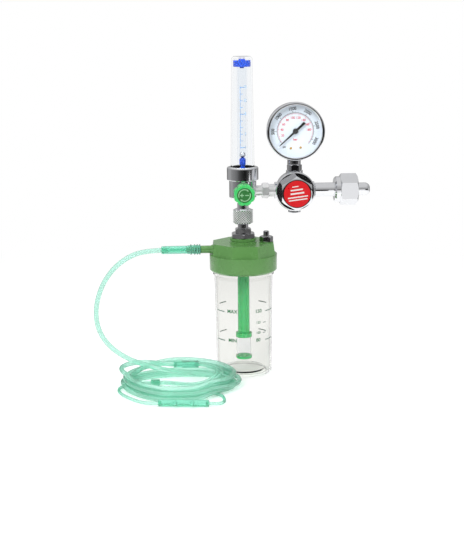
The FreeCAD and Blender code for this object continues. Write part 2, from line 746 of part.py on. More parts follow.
    bottom = gauge_z - shank_top - 4.0
    top = gauge_z + plate_top
    left_edge = regulator_x - plate_width / 2
    front_low = gauge_z - pitch - 4.0
    frame = Part.makeBox(plate_width, plate_t, top - bottom, V(left_edge, plate_back_y, bottom))
    front_plate = Part.makeBox(plate_width, plate_t, top - front_low, V(left_edge, plate_front_y, front_low))
    frame = frame.fuse(front_plate)
    for side in (-1, 1):
        for z in (gauge_z + plate_top - 2.2, gauge_z - pitch - 2.0):
            place = V(regulator_x + side * (plate_width / 2 - 1.8), 0, z)
            frame = frame.fuse(rod(pillar_r, plate_front_y, plate_back_y + 0.5, place, Y_AXIS))
    for z in (gauge_z, gauge_z - pitch):
        hole = rod(arbor_r + running, plate_front_y - 1, plate_back_y + 5, V(regulator_x, 0, z), Y_AXIS)
        frame = frame.cut(hole)
    foot = Part.makeBox(shank_width - 2, shank_y[0] - plate_back_y - plate_t, 4.0,
                        V(regulator_x - shank_width / 2 + 1, plate_back_y + plate_t, bottom))
    save("movement_frame", frame.fuse(foot).removeSplitter())

    shank_middle = 0.5 * (shank_y[0] + shank_y[1])
    neck = V(regulator_x, shank_middle, 0)
    hex_low = boss_reach
    hex_high = boss_reach + socket_hex_length
    inner_edge = case_edge - case_wall
    into_edge = shank_y[1] - (case_back - case_edge)
    room_r = case_r - case_edge + math.sqrt(inner_edge ** 2 - into_edge ** 2) - apart
    block_foot = gauge_z - math.sqrt(room_r ** 2 - (shank_width / 2) ** 2)
    block = Part.makeBox(shank_width, shank_y[1] - shank_y[0], gauge_z - shank_top - block_foot,
                         V(regulator_x - shank_width / 2, shank_y[0], block_foot))
    block = block.fuse(rod(socket_neck_r, hex_high - 1, block_foot + 0.2, neck, Z_AXIS))
    socket = stand(hexagon(socket_flats, hex_low, hex_high, 0), V(regulator_x, 0, 0), Z_AXIS)
    joint = turned([(0, hex_high - 3.0), (socket_neck_r - 0.6, hex_high - 3.0),
                    (socket_neck_r - 0.6, hex_high + 1.0), (0, hex_high + 1.0)], neck)
    socket = socket.fuse(joint).fuse(block)
    below = V(regulator_x, 0, 0)
    socket = socket.fuse(rod(socket_thread_r, boss_reach - socket_thread_length, hex_low + 1, below, Z_AXIS))
    socket = socket.cut(rod(socket_bore_r, 0, hex_high + 2, below, Z_AXIS))
    socket = socket.cut(rod(socket_bore_r, hex_high, gauge_z - shank_top - 4.0, neck, Z_AXIS))
    centre = V(regulator_x, shank_middle, gauge_z)
    bend = []
    for angle in (tube_start, 0.5 * (tube_start + tube_end), tube_end):
        a = math.radians(angle)
        bend.append(centre + V(math.cos(a), 0, math.sin(a)) * tube_bend_r)
    arc = Part.Wire(Part.Arc(*bend).toShape())
    a = math.radians(tube_start)
    outward = V(math.cos(a), 0, math.sin(a))
    u, v = outward * (tube_thick / 2), Y_AXIS * (tube_flat / 2)
    corners = [bend[0] + u * i + v * j for i, j in ((-1, -1), (1, -1), (1, 1), (-1, 1), (-1, -1))]
    curved = arc.makePipeShell([Part.makePolygon(corners)], True, False)
    b = math.radians(tube_end)
    tip_out = V(math.cos(b), 0, math.sin(b))
    lug_place = V(bend[2].x, 0, bend[2].z) - tip_out * 2.0
    link_y = gear_y + gear_t + 0.1
    lug = rod(1.5, link_y + link_t + 0.05, shank_middle, lug_place, Y_AXIS)
    lug = lug.fuse(rod(arbor_r, link_y, shank_middle, lug_place, Y_AXIS))
    save("bourdon_tube", curved.fuse(lug).cut(socket).removeSplitter())
    save("gauge_socket", socket)

    swing = math.radians(mid_turn * ratio)
    tail_place = pivot + V(math.cos(swing), 0, -math.sin(swing)) * tail_length
    along = tail_place - V(lug_place.x, 0, lug_place.z)
    reach = along.Length
    bar = Part.makeBox(reach, 1.6, link_t, V(0, -0.8, 0))
    bar = bar.fuse(rod(1.3, 0, link_t)).fuse(rod(1.3, 0, link_t, V(reach, 0, 0)))
    bar = bar.cut(rod(arbor_r + running, -1, 2))
    bar = bar.fuse(rod(arbor_r - running, 0, gear_t, V(reach, 0, 0)))
    slope = math.degrees(math.atan2(along.z, along.x))
    bar = towards_front(bar, lug_place.x, link_y + link_t, lug_place.z, slope)
    save("movement_link", bar)


def make_flow_control():
    """Link, flow body, valve and knob."""
    axis = V(flow_x, 0, 0)
    front = V(flow_x, 0, valve_z)
    boss_face = regulator_x - boss_reach
    link_start = flow_x + body_r - link_depth
    link = turned([(0, link_start), (link_collar_r, link_start), (link_collar_r, link_hex[0] + 0.5),
                   (0, link_hex[0] + 0.5)])
    link = link.fuse(hexagon(link_flats, link_hex[0], link_hex[1], 0))
    link = link.fuse(rod(link_barrel_r, link_hex[1] - 0.5, boss_face))
    link = link.fuse(rod(link_barrel_r - 1.2, boss_face - 1, boss_face + 4.6))
    link = link.cut(rod(link_bore_r, link_start - 1, boss_face + 8))
    save("link_nipple", stand(link.removeSplitter(), V(0, 0, 0), X_AXIS))

    low, high = body_z
    neck_top = low - cone_drop
    body = turned([
        (0, tail_z), (tail_shoulder_r - 0.6, tail_z), (tail_shoulder_r, tail_z + 0.6),
        (tail_shoulder_r, tail_z + tail_shoulder_t - 1.0), (neck_r, tail_z + tail_shoulder_t),
        (neck_r, neck_top), (body_r - 0.8, low), (body_r, low + 0.8),
        (body_r, high - 0.6), (body_r - 0.6, high), (0, high)], axis)
    body = body.fuse(rod(gland_r + 1.4, 4, -(knob_back + 0.9), front, -Y_AXIS))
    entry = V(flow_x + body_r - link_depth - 1.0, 0, valve_z)
    to_valve = front - Y_AXIS * 7.0 - entry
    cuts = [
        rod(link_collar_r, body_r - link_depth, body_r + 2, axis, X_AXIS),
        rod(link_bore_r, body_r - link_depth - 2.5, body_r, axis, X_AXIS),
        Part.makeCylinder(gas_r * 0.75, to_valve.Length, entry, to_valve),
        rod(valve_bore_r, valve_seat_y, body_r + 4, front, -Y_AXIS),
        rod(valve_seat_r, 0, valve_seat_y + 1, front, -Y_AXIS),
        rod(gland_r, body_r - gland_length + 0.3, body_r + 6, front, -Y_AXIS),
        rod(gas_r, valve_z, high + 1, axis),
        rod(gas_r, tail_z - 1, return_z + 0.5, axis),
        rod(return_r, 0, return_y, V(flow_x, 0, return_z), Y_AXIS),
        rod(return_r, return_z, high + 1, V(flow_x, return_y, 0)),
        rod(inner_seat_r, high - 2.4, high + 1, axis),
    ]
    for tool in cuts:
        body = body.cut(tool)
    save("flow_body", body)

    gland_back = -(body_r - gland_length + 0.3)
    gland = tube(gland_r, spindle_r + running, -gland_back, -(knob_back + 0.9), front, -Y_AXIS)
    save("valve_gland", gland)
    tip_y = 1.2
    spindle_end = -knob_front - 5.0
    spindle = turned([
        (0, tip_y), (0.3, tip_y), (spindle_r - 0.2, tip_y + spindle_tip),
        (spindle_r, tip_y + spindle_tip + 0.4), (spindle_r, spindle_end), (0, spindle_end)], front, -Y_AXIS)
    save("valve_spindle", spindle)

    depth = knob_back - knob_front
    round_bar = rod(knob_r * 0.86, 0, depth)
    lobe_ring = knob_r - knob_lobe_r
    for i in range(knob_lobes):
        angle = 2 * math.pi * (i + 0.5) / knob_lobes
        place = V(lobe_ring * math.cos(angle), lobe_ring * math.sin(angle), 0)
        round_bar = round_bar.fuse(rod(knob_lobe_r, 0, depth, place))
    soft = turned([
        (0, 0), (knob_r - knob_edge * 0.4, 0), (knob_r + 0.1, knob_edge * 0.6),
        (knob_r + 0.1, depth - knob_edge),
        (knob_r - 0.3 * knob_edge, depth - 0.3 * knob_edge, knob_r - knob_edge, depth), (0, depth)])
    knob = round_bar.removeSplitter().common(soft)
    knob = knob.cut(rod(knob_disc_r, depth - knob_disc_t - knob_recess, depth + 1))
    knob = knob.cut(rod(spindle_r, -1, depth - 5.0))
    skirt_in = tube(knob_disc_r, spindle_r + 1.8, -1, 3.0)
    knob = knob.cut(skirt_in)
    save("knob", stand(knob, V(flow_x, knob_back, valve_z), -Y_AXIS))
    disc = rod(knob_disc_r, depth - knob_disc_t - knob_recess, depth - knob_recess)
    save("knob_disc", stand(disc, V(flow_x, knob_back, valve_z), -Y_AXIS))


def make_flow_tube():
    """The cap, the two clear tubes and the ball between its seat and the top bush."""
    axis = V(flow_x, 0, 0)
    low, high = cap_z
    flange_top = low + seal_t + tube_foot_flange_t
    cap = turned([
        (tube_foot_r + apart, high), (tube_foot_r + apart, flange_top), (tube_foot_flange_r, flange_top),
        (tube_foot_flange_r, low), (cap_r - 0.6, low), (cap_r, low + 0.6), (cap_r, high - cap_lip),
        (cap_r - cap_lip * 0.3, high - cap_lip * 0.3, cap_r - cap_lip, high)], axis)
    save("tube_cap", cap)
    save("tube_seal", tube(tube_foot_flange_r, tube_foot_r - tube_wall, low, low + seal_t, axis))

    foot = low + seal_t
    inner_top = tube_top_z - tube_wall - 0.6
    glass = turned([
        (tube_foot_r - tube_wall, foot), (tube_foot_flange_r, foot), (tube_foot_flange_r, flange_top),
        (tube_foot_r, flange_top), (tube_top_r, tube_top_z - tube_shoulder),
        (tube_top_r - tube_shoulder * 0.9, tube_top_z), (0, tube_top_z), (0, inner_top),
        (tube_top_r - tube_wall - 1.0, inner_top), (tube_top_r - tube_wall, inner_top - 1.2)], axis)
    save("outer_tube", glass)

    inner = turned([
        (bore_foot_r, inner_foot_z), (inner_tube_r, inner_foot_z), (inner_tube_r, inner_tube_top_z),
        (bore_top_r, inner_tube_top_z), (bore_foot_r, seat_top_z - 1)], axis)
    save("metering_tube", inner)
    seat = turned([
        (1.2, body_z[1] - 2.4), (inner_seat_r, body_z[1] - 2.4), (inner_seat_r, inner_foot_z),
        (bore_foot_r - 0.02, inner_foot_z), (bore_foot_r - 0.02, 24.0), (bore_foot_r - 1.2, 24.8),
        (bore_foot_r - 1.2, 26.4), (bore_foot_r - 0.02, 27.4), (bore_foot_r - 0.02, seat_top_z - 1.5),
        (bore_foot_r - 0.5, seat_top_z - 0.4), (1.9, seat_top_z), (1.2, seat_top_z - 0.8)], axis)
    save("float_seat", seat)
    save("float_ball", Part.makeSphere(ball_r, V(flow_x, 0, ball_z)))

    bush_low, bush_high = bush_z
    share = (bush_high - cap_z[0]) / (tube_top_z - cap_z[0])
    bush_r = tube_foot_r + (tube_top_r - tube_foot_r) * share - tube_wall - 0.06
    stop_z = ball_z + float_travel + ball_r + apart
    bush = turned([
        (inner_tube_r, bush_low), (bush_r, bush_low), (bush_r, bush_high), (bush_crown_r, bush_high),
        (bush_crown_r, inner_top), (stop_r - 0.8, inner_top), (stop_r - 0.8, stop_z), (stop_r, stop_z),
        (stop_r, inner_tube_top_z), (inner_tube_r, inner_tube_top_z)], axis)
    for i in range(4):
        angle = math.radians(45 + 90 * i)
        place = axis + V(math.cos(angle), math.sin(angle), 0) * (0.5 * (inner_tube_r + bush_r) + 0.3)
        bush = bush.cut(rod(bush_port_r, bush_low - 1, bush_high + 1, place))
    save("top_bush", bush)


def make_humidifier():
    """Union, lid, relief valve, bottle and the tube that takes the gas under the water."""
    axis = V(flow_x, 0, 0)
    low, high = union_z
    roof = tail_z + tail_shoulder_t + apart
    nut = turned([
        (union_thread_r, low), (union_r - union_edge, low), (union_r, low + union_edge),
        (union_r, high - 2.2), (union_r - union_edge, high - 0.8), (union_r - union_edge - 1.2, high),
        (neck_r + running, high), (neck_r + running, roof), (tail_shoulder_r + apart, roof),
        (tail_shoulder_r + apart, tail_z - 0.2),
        (union_thread_r, tail_z - 0.4)], axis)
    save("union_nut", nut)
    save("union_seal", tube(tail_shoulder_r - 0.8, 3.0, adaptor_top_z, tail_z, axis))

    thread_r = union_thread_r - running
    adaptor = turned([
        (adaptor_bore_r, adaptor_top_z), (thread_r - 0.3, adaptor_top_z),
        (thread_r, adaptor_top_z - 0.3), (thread_r, adaptor_thread_z),
        (adaptor_neck_r, adaptor_thread_z - 0.5), (adaptor_neck_r, small_hex_z[1] - 1),
        (adaptor_neck_r, small_hex_z[0]), (adaptor_stem_r, small_hex_z[0]),
        (adaptor_stem_r, adaptor_foot_z + 1),
        (adaptor_stem_r - 0.6, adaptor_foot_z), (adaptor_bore_r, adaptor_foot_z)], axis)
    collar = stand(hexagon(small_hex_flats, small_hex_z[0], small_hex_z[1], 30), axis, Z_AXIS)
    collar = collar.cut(rod(adaptor_bore_r, small_hex_z[0] - 1, small_hex_z[1] + 1, axis))
    save("inlet_adaptor", adaptor.fuse(collar).removeSplitter())
    lock = stand(hexagon(lock_flats, lock_z[0], lock_z[1], 30), axis, Z_AXIS)
    save("lock_nut", lock.cut(rod(adaptor_stem_r, lock_z[0] - 1, lock_z[1] + 1, axis)))

    octagon_top_r = octagon_foot_r - octagon_lean
    rings = []
    for r, z in ((octagon_foot_r, skirt_top_z - 1.0), (octagon_top_r, octagon_top_z)):
        corners = []
        for i in range(9):
            angle = math.radians(22.5 + 45 * i)
            corners.append(V(flow_x + r * math.cos(angle), r * math.sin(angle), z))
        rings.append(Part.makePolygon(corners))
    crown = Part.makeLoft(rings, True, True)
    skirt = turned([
        (0, skirt_foot_z), (octagon_foot_r - skirt_chamfer, skirt_foot_z),
        (octagon_foot_r, skirt_foot_z + skirt_chamfer), (octagon_foot_r, skirt_top_z),
        (0, skirt_top_z)], axis)
    boss = turned([
        (0, octagon_top_z - 1), (boss_top_r + 0.5, octagon_top_z - 1),
        (boss_top_r + 0.5, octagon_top_z + 0.6), (boss_top_r, boss_groove_z - 1.0),
        (boss_top_r - 0.7, boss_groove_z - 0.4),
        (boss_top_r - 0.7, boss_groove_z), (boss_top_r, boss_groove_z + 0.4), (boss_top_r, lock_z[0]),
        (0, lock_z[0])], axis)
    aside = math.radians(relief_turn)
    relief = axis + V(math.cos(aside), math.sin(aside), 0) * (octagon_top_r - relief_inset)
    pad = rod(relief_pad_r, octagon_top_z - 4, relief_collar_z[0], relief)
    nipple = turned([
        (0, 25.0), (outlet_r + 1.0, 25.0), (outlet_r + 1.0, 31.6), (outlet_r, 33.6), (outlet_r, 44.0),
        (outlet_barb_r, 44.4), (outlet_barb_r, 56.4), (outlet_barb_r - 0.6, flow_x - outlet_tip_x),
        (0, flow_x - outlet_tip_x)], V(flow_x, 0, outlet_z), -X_AXIS)
    lid = crown.fuse(skirt).fuse(boss).fuse(pad).fuse(nipple)
    thread_r = bottle_neck_r + apart
    cavity = turned([
        (0, skirt_foot_z - 1), (thread_r, skirt_foot_z - 1), (thread_r, bottle_rim_z + gasket_t),
        (thread_r - 4.0, bottle_rim_z + gasket_t), (thread_r - 4.0, lid_inside_z - 2.0),
        (thread_r - 6.0, lid_inside_z), (0, lid_inside_z)], axis)
    socket = turned([
        (0, lid_inside_z + 1), (adaptor_stem_r + 3.4, lid_inside_z + 1),
        (adaptor_stem_r + 3.4, adaptor_foot_z + 7.0), (0, adaptor_foot_z + 7.0)], axis)
    lid = lid.cut(cavity).fuse(socket)
    lid = lid.cut(rod(adaptor_stem_r, adaptor_foot_z - 1, lock_z[0] + 1, axis))
    lid = lid.cut(rod(outlet_bore_r, adaptor_stem_r + 4.0, 80, V(flow_x, 0, outlet_z), -X_AXIS))
    lid = lid.cut(rod(relief_hole_r, lid_inside_z - 8, relief_collar_z[0] + 1, relief))
    save("lid", lid.removeSplitter())

    gasket = tube(thread_r - 0.3, bottle_neck_r - 5.0, bottle_rim_z, bottle_rim_z + gasket_t, axis)
    save("lid_gasket", gasket)

    collar_low, collar_high = relief_collar_z
    collar_flats = 2 * relief_collar_r * math.cos(math.pi / 6)
    collar = stand(hexagon(collar_flats, collar_low, collar_high, 0), relief, Z_AXIS)
    roof_z = collar_high - relief_roof
    room_r = relief_disc_r + 0.15
    collar = collar.cut(rod(room_r, collar_low - 1, roof_z, relief))
    collar = collar.cut(rod(relief_pin_r + running, roof_z - 1, collar_high + 1, relief))
    save("relief_collar", collar)
    disc_top = collar_low + 0.02 + relief_disc_t
    pin = turned([
        (0, collar_low + 0.02), (relief_disc_r, collar_low + 0.02), (relief_disc_r, disc_top),
        (relief_pin_r, disc_top), (relief_pin_r, relief_pin_top - 0.5), (relief_pin_r - 0.5, relief_pin_top),
        (0, relief_pin_top)], relief)
    save("relief_pin", pin)
    coil_r = 0.5 * (relief_pin_r + room_r)
    coil = spring(coil_r, relief_spring_wire, disc_top, roof_z, relief_spring_turns, relief, Z_AXIS)
    save("relief_spring", coil)

    foot, rim = bottle_foot_z, bottle_rim_z
    shoulder = skirt_foot_z - 0.6
    wall = bottle_wall
    bend = 1 - math.sqrt(0.5)
    edge = bottle_edge
    bottle = turned([
        (0, foot + bottle_push), (bottle_foot_r - edge - 4.0, foot + bottle_push),
        (bottle_foot_r - edge - 1.0, foot), (bottle_foot_r - edge, foot),
        (bottle_foot_r - bend * edge, foot + bend * edge, bottle_foot_r, foot + edge),
        (bottle_top_r, shoulder - bottle_bead_t - 1.0), (bottle_bead_r, shoulder - bottle_bead_t),
        (bottle_bead_r, shoulder - 0.4), (bottle_neck_r, shoulder), (bottle_neck_r, rim),
        (bottle_neck_r - wall - 1.0, rim), (bottle_neck_r - wall - 1.0, shoulder - bottle_bead_t - 2.0),
        (bottle_top_r - wall, shoulder - bottle_bead_t - 4.0), (bottle_foot_r - wall, foot + edge),
        (bottle_foot_r - wall - bend * edge, foot + wall + bend * edge,
         bottle_foot_r - wall - edge, foot + wall + 0.6),
        (bottle_foot_r - wall - edge - 2.0, foot + wall + bottle_push), (0, foot + wall + bottle_push)], axis)
    save("bottle", bottle)

    cup_top = dip_foot_z - dip_flange_t
    dip_top = adaptor_foot_z + 6.6
    dip = turned([
        (adaptor_stem_r, dip_top), (dip_r, dip_top), (dip_r, dip_foot_z), (dip_flange_r, dip_foot_z),
        (dip_flange_r, cup_top), (dip_bore_r, cup_top), (dip_bore_r, adaptor_foot_z),
        (adaptor_stem_r, adaptor_foot_z)], axis)
    save("dip_tube", dip)
    cup = tube(cup_r, cup_r - cup_wall, cup_foot_z, cup_top, axis)
    save("diffuser", cup)
    ring = turned([
        (0, cup_foot_z - ring_t), (ring_r - 0.5, cup_foot_z - ring_t), (ring_r, cup_foot_z - ring_t + 0.5),
        (ring_r, cup_foot_z), (0, cup_foot_z)], axis)
    for i in range(6):
        angle = math.radians(60 * i)
        place = axis + V(math.cos(angle), math.sin(angle), 0) * ring_port_place
        ring = ring.cut(rod(ring_port_r, cup_foot_z - ring_t - 1, cup_foot_z + 1, place))
    save("diffuser_ring", ring)


def oval(centre, long_r, short_r, low, high):
    """An upright elliptic bar, its long axis along X."""
    face = Part.Face(Part.Wire(Part.Ellipse(V(0, 0, 0), long_r, short_r).toShape()))
    solid = face.extrude(V(0, 0, high - low))
    solid.translate(V(centre.x, centre.y, low))
    return solid


def make_cannula():
    """Connector, supply tube, coil, Y-piece, slider, face piece and its two thin tubes."""
    start, end = connector_x
    origin = V(0, 0, outlet_z)
    length = end - start
    body = turned([
        (0, 0), (connector_r - 0.5, 0), (connector_r, 0.8), (connector_r + 0.1, length - 14),
        (connector_r + 0.5, length - 12), (connector_r + 0.5, length), (0, length)],
        V(start, 0, outlet_z), X_AXIS)
    for x in connector_ribs:
        rib = turned([
            (0, -connector_rib_t / 2), (connector_rib_r - 0.3, -connector_rib_t / 2),
            (connector_rib_r, 0), (connector_rib_r - 0.3, connector_rib_t / 2),
            (0, connector_rib_t / 2)], V(x, 0, outlet_z), X_AXIS)
        body = body.fuse(rib)
    body = body.cut(rod(outlet_barb_r, outlet_tip_x - 0.2, end + 1, origin, X_AXIS))
    body = body.cut(rod(connector_bore_r - 0.6, supply_route[0].x, end, origin, X_AXIS))
    body = body.cut(rod(hose_d / 2, start - 1, supply_route[0].x, origin, X_AXIS))
    save("tube_connector", body.removeSplitter())
    save("supply_tube", cord(supply_route, hose_d, "supply tube"))

    coil = oval(coil_centre, coil_long, coil_short, floor_z, coil_top_z)
    coil = coil.makeFillet(coil_edge, [e for e in coil.Edges if e.Length > 100])
    hole = oval(coil_hole_centre, coil_hole_long, coil_hole_short, floor_z - 1, coil_top_z + 1)
    save("tube_coil", coil.cut(hole))

    z = coil_top_z + 0.5 * junction_t
    joint = turned([
        (0, 0), (junction_r - 0.7, 0), (junction_r - 0.3, 0.6), (junction_r - 0.3, junction_narrow),
        (0, junction_narrow)], V(junction_left.x, junction_left.y, z), X_AXIS)
    corner = junction_left + V(junction_narrow - 1.6, -junction_half_width, coil_top_z)
    wide = Part.makeBox(junction_wide, 2 * junction_half_width, junction_t, corner)
    wide = wide.makeFillet(1.3, [e for e in wide.Edges if abs(e.tangentAt(e.FirstParameter).x) > 0.9])
    joint = joint.fuse(wide)
    for route in (lip_left_route, lip_right_route):
        joint = joint.cut(rod(lip_d / 2, 0, 12, route[0], X_AXIS))
    save("y_junction", joint.removeSplitter())

    length, width, height = slider_size
    ring = Part.makeBox(length, width, height, slider_centre + V(-length / 2, -width / 2, floor_z + 0.6))
    ring = ring.makeFillet(1.2, [e for e in ring.Edges if abs(e.tangentAt(e.FirstParameter).x) > 0.9])
    for side in (-1, 1):
        hole = rod(lip_d / 2 + 0.1, -length, length, slider_centre + V(0, side * 1.9, lip_in_slider), X_AXIS)
        ring = ring.cut(hole)
    save("slider", ring)

    left = nasal_left + V(0, 0, lip_in_nasal)
    right = nasal_right + V(0, 0, lip_in_nasal)
    along = right - left
    length = along.Length
    along.normalize()
    bar = turned([
        (0, 0), (nasal_r - 0.5, 0), (nasal_r, 0.6), (nasal_r, length - 0.6),
        (nasal_r - 0.5, length), (0, length)], left, along)
    lift = math.radians(prong_lift)
    way = V(along.y, -along.x, 0) * math.cos(lift) + V(0, 0, math.sin(lift))
    for place in prong_places:
        profile = [(0, 0), (prong_r + 0.3, 0), (prong_r - 0.3, prong_length), (0, prong_length)]
        bar = bar.fuse(turned(profile, left + along * place, way))
    for place in prong_places:
        bar = bar.cut(rod(prong_r - 1.1, 1.0, prong_length + 1, left + along * place, way))
    for end_place, way_in in ((left, along), (right, -along)):
        bar = bar.cut(rod(lip_d / 2, -1, 3.0, end_place, way_in))
    save("nasal_piece", bar.removeSplitter())
    save("lip_tube_left", cord(lip_left_route, lip_d, "left thin tube"))
    save("lip_tube_right", cord(lip_right_route, lip_d, "right thin tube"))


os.makedirs("parts", exist_ok=True)
make_inlet()
make_regulator()
make_gauge()
make_flow_control()
make_flow_tube()
make_humidifier()
make_cannula()
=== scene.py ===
import math

import bmesh
import bpy
from mathutils import Matrix, Vector


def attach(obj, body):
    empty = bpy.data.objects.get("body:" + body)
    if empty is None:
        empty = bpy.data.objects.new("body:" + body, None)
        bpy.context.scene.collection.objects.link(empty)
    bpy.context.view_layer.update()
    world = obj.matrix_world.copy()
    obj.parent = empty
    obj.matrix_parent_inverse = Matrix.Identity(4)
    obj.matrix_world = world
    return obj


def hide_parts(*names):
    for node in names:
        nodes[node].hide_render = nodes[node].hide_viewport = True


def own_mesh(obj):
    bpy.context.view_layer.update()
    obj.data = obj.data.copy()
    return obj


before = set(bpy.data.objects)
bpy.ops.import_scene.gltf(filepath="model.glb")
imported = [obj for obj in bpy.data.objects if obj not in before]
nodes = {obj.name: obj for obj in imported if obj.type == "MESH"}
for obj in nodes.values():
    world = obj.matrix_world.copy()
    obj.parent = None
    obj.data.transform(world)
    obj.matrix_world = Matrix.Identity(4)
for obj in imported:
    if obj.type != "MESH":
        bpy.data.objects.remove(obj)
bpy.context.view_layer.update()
mm = 0.001

FLOOR_Z = -0.1918
REGULATOR_X = -0.0648
GAUGE_Z = 0.0616
FLOW_X = -0.118
OUTLET_Z = -0.0605
TABLE_LIFT = 0.3


# Small helpers

def placed(name, data):
    """A new object in the scene."""
    made = bpy.data.objects.new(name, data)
    bpy.context.collection.objects.link(made)
    return made


def mesh_of(shape, name):
    """The gathered shape as a mesh of that name."""
    mesh = bpy.data.meshes.new(name)
    shape.to_mesh(mesh)
    shape.free()
    return mesh


def settled(made):
    """An object's final mesh, with its modifiers, bevel or lettering worked out."""
    bpy.context.view_layer.update()
    return bpy.data.meshes.new_from_object(made.evaluated_get(bpy.context.evaluated_depsgraph_get()))


def round_line(shape, radius, height, count):
    """Corners on a level circle round the flow tube's axis."""
    around = [2 * math.pi * i / count for i in range(count)]
    return [shape.verts.new((FLOW_X + radius * math.cos(a), radius * math.sin(a), height)) for a in around]


def walled(shape, foot, crown):
    """Faces all the way round between two rings of corners."""
    count = len(foot)
    for i in range(count):
        j = (i + 1) % count
        shape.faces.new((foot[i], foot[j], crown[j], crown[i]))


# Camera

def photograph_camera():
    """The camera at the photograph's place, a little left of the front and above."""
    turn, tilt, roll = (math.radians(a) for a in (-3.0, 11.9, 0.55))
    aim = Vector((-0.1299, 0.0, -0.0845))
    back = Vector((math.sin(turn) * math.cos(tilt), -math.cos(turn) * math.cos(tilt), math.sin(tilt)))
    right = Vector((math.cos(turn), math.sin(turn), 0.0))
    up = back.cross(right)
    across = right * math.cos(roll) - up * math.sin(roll)
    upright = up * math.cos(roll) + right * math.sin(roll)
    data = bpy.data.cameras.new("photograph")
    data.sensor_fit = "VERTICAL"
    data.sensor_height = 36.0
    data.lens = 86.0
    data.clip_end = 20.0
    camera = placed("photograph", data)
    turned = Matrix((across, upright, back)).transposed().to_4x4()
    camera.matrix_world = Matrix.Translation(aim + back * 1.35) @ turned
    bpy.context.scene.camera = camera


# Finishes

def paint(red, green, blue):
    """A shade as the eye names it, as the shader wants it."""
    shares = (c / 255 for c in (red, green, blue))
    return tuple(c / 12.92 if c < 0.04045 else ((c + 0.055) / 1.055) ** 2.4 for c in shares) + (1.0,)


class Finish:
    """A principled material built up step by step, whose steady values sit on its own sockets."""

    def __init__(self, name, shade, rough, **sockets):
        self.name = name
        self.made = bpy.data.materials.new(name)
        self.made.use_nodes = True
        self.tree = self.made.node_tree
        self.shader = self.tree.nodes["Principled BSDF"]
        self.shader.inputs["Base Color"].default_value = paint(*shade)
        self.shader.inputs["Roughness"].default_value = rough
        for socket, value in sockets.items():
            self.shader.inputs[socket.replace("_", " ")].default_value = value

    def node(self, kind, **sockets):
        """A node of that kind with its named sockets set."""
        made = self.tree.nodes.new("ShaderNode" + kind)
        for socket, value in sockets.items():
            made.inputs[socket.replace("_", " ")].default_value = value
        return made

    def speckle(self, size, detail=3.0, stretch=(1, 1, 1)):
        """Noise of about one size in metres, in the piece's own space."""
        place = self.node("TexCoord")
        mapping = self.node("Mapping", Scale=stretch)
        noise = self.node("TexNoise", Scale=1.0 / size, Detail=detail)
        self.tree.links.new(place.outputs["Object"], mapping.inputs["Vector"])
        self.tree.links.new(mapping.outputs["Vector"], noise.inputs["Vector"])
        return noise.outputs["Fac"]

    def blended(self, share, one, other):
        """The colour goes from one shade to the other by that share."""
        blend = self.node("Mix")
        blend.data_type = "RGBA"
        blend.inputs[6].default_value = paint(*one)
        blend.inputs[7].default_value = paint(*other)
        self.tree.links.new(share, blend.inputs[0])
        self.tree.links.new(blend.outputs[2], self.shader.inputs["Base Color"])
        return self

    def handled(self, size, low, high):
        """Roughness that drifts between two values, as on a surface that has been handled."""
        spread = self.node("MapRange", From_Min=0.3, From_Max=0.7, To_Min=low, To_Max=high)
        self.tree.links.new(self.speckle(size), spread.inputs["Value"])
        self.tree.links.new(spread.outputs["Result"], self.shader.inputs["Roughness"])
        return self

    def mottled(self, size, one, other):
        """A colour that drifts between two near shades."""
        return self.blended(self.speckle(size, 2.0), one, other)

    def darker_at_edges(self, middle, edge, start=0.45, end=0.95):
        """Colour painted darker where one looks along the wall: painted shade for the dark edges that
        refraction and mirrored surroundings give, with the plastic's own colour held over the longer way
        through it.
        """
        facing = self.node("LayerWeight", Blend=0.5)
        share = self.node("MapRange", From_Min=start, From_Max=end)
        share.interpolation_type = "SMOOTHSTEP"
        self.tree.links.new(facing.outputs["Facing"], share.inputs["Value"])
        return self.blended(share.outputs["Result"], middle, edge)

    def rippled(self, size, strength, depth, detail=2.0, stretch=(1, 1, 1)):
        """Small waves in the surface, as under plating or on a moulding."""
        bump = self.node("Bump", Strength=strength, Distance=depth)
        self.tree.links.new(self.speckle(size, detail, stretch), bump.inputs["Height"])
        self.tree.links.new(bump.outputs["Normal"], self.shader.inputs["Normal"])
        return self

    def lets_light_by(self, share, shade=(255, 255, 255)):
        """Let that share of the lamps' light straight through, as thin clear plastic does."""
        path = self.node("LightPath")
        times = self.node("Math")
        times.operation = "MULTIPLY"
        times.inputs[1].default_value = share
        clear = self.node("BsdfTransparent", Color=paint(*shade))
        either = self.node("MixShader")
        self.tree.links.new(path.outputs["Is Shadow Ray"], times.inputs[0])
        self.tree.links.new(times.outputs[0], either.inputs["Fac"])
        self.tree.links.new(self.shader.outputs[0], either.inputs[1])
        self.tree.links.new(clear.outputs[0], either.inputs[2])
        self.tree.links.new(either.outputs[0], self.tree.nodes["Material Output"].inputs["Surface"])
        return self


PLATE = (232, 233, 236)
PRINTS = {
    "black_print": (30, 32, 36), "red_print": (214, 40, 60), "blue_print": (64, 142, 212),
    "pale_print": (150, 190, 224), "green_print": (20, 120, 66), "grey_print": (96, 128, 114),
    "white_print": (244, 236, 232),
}


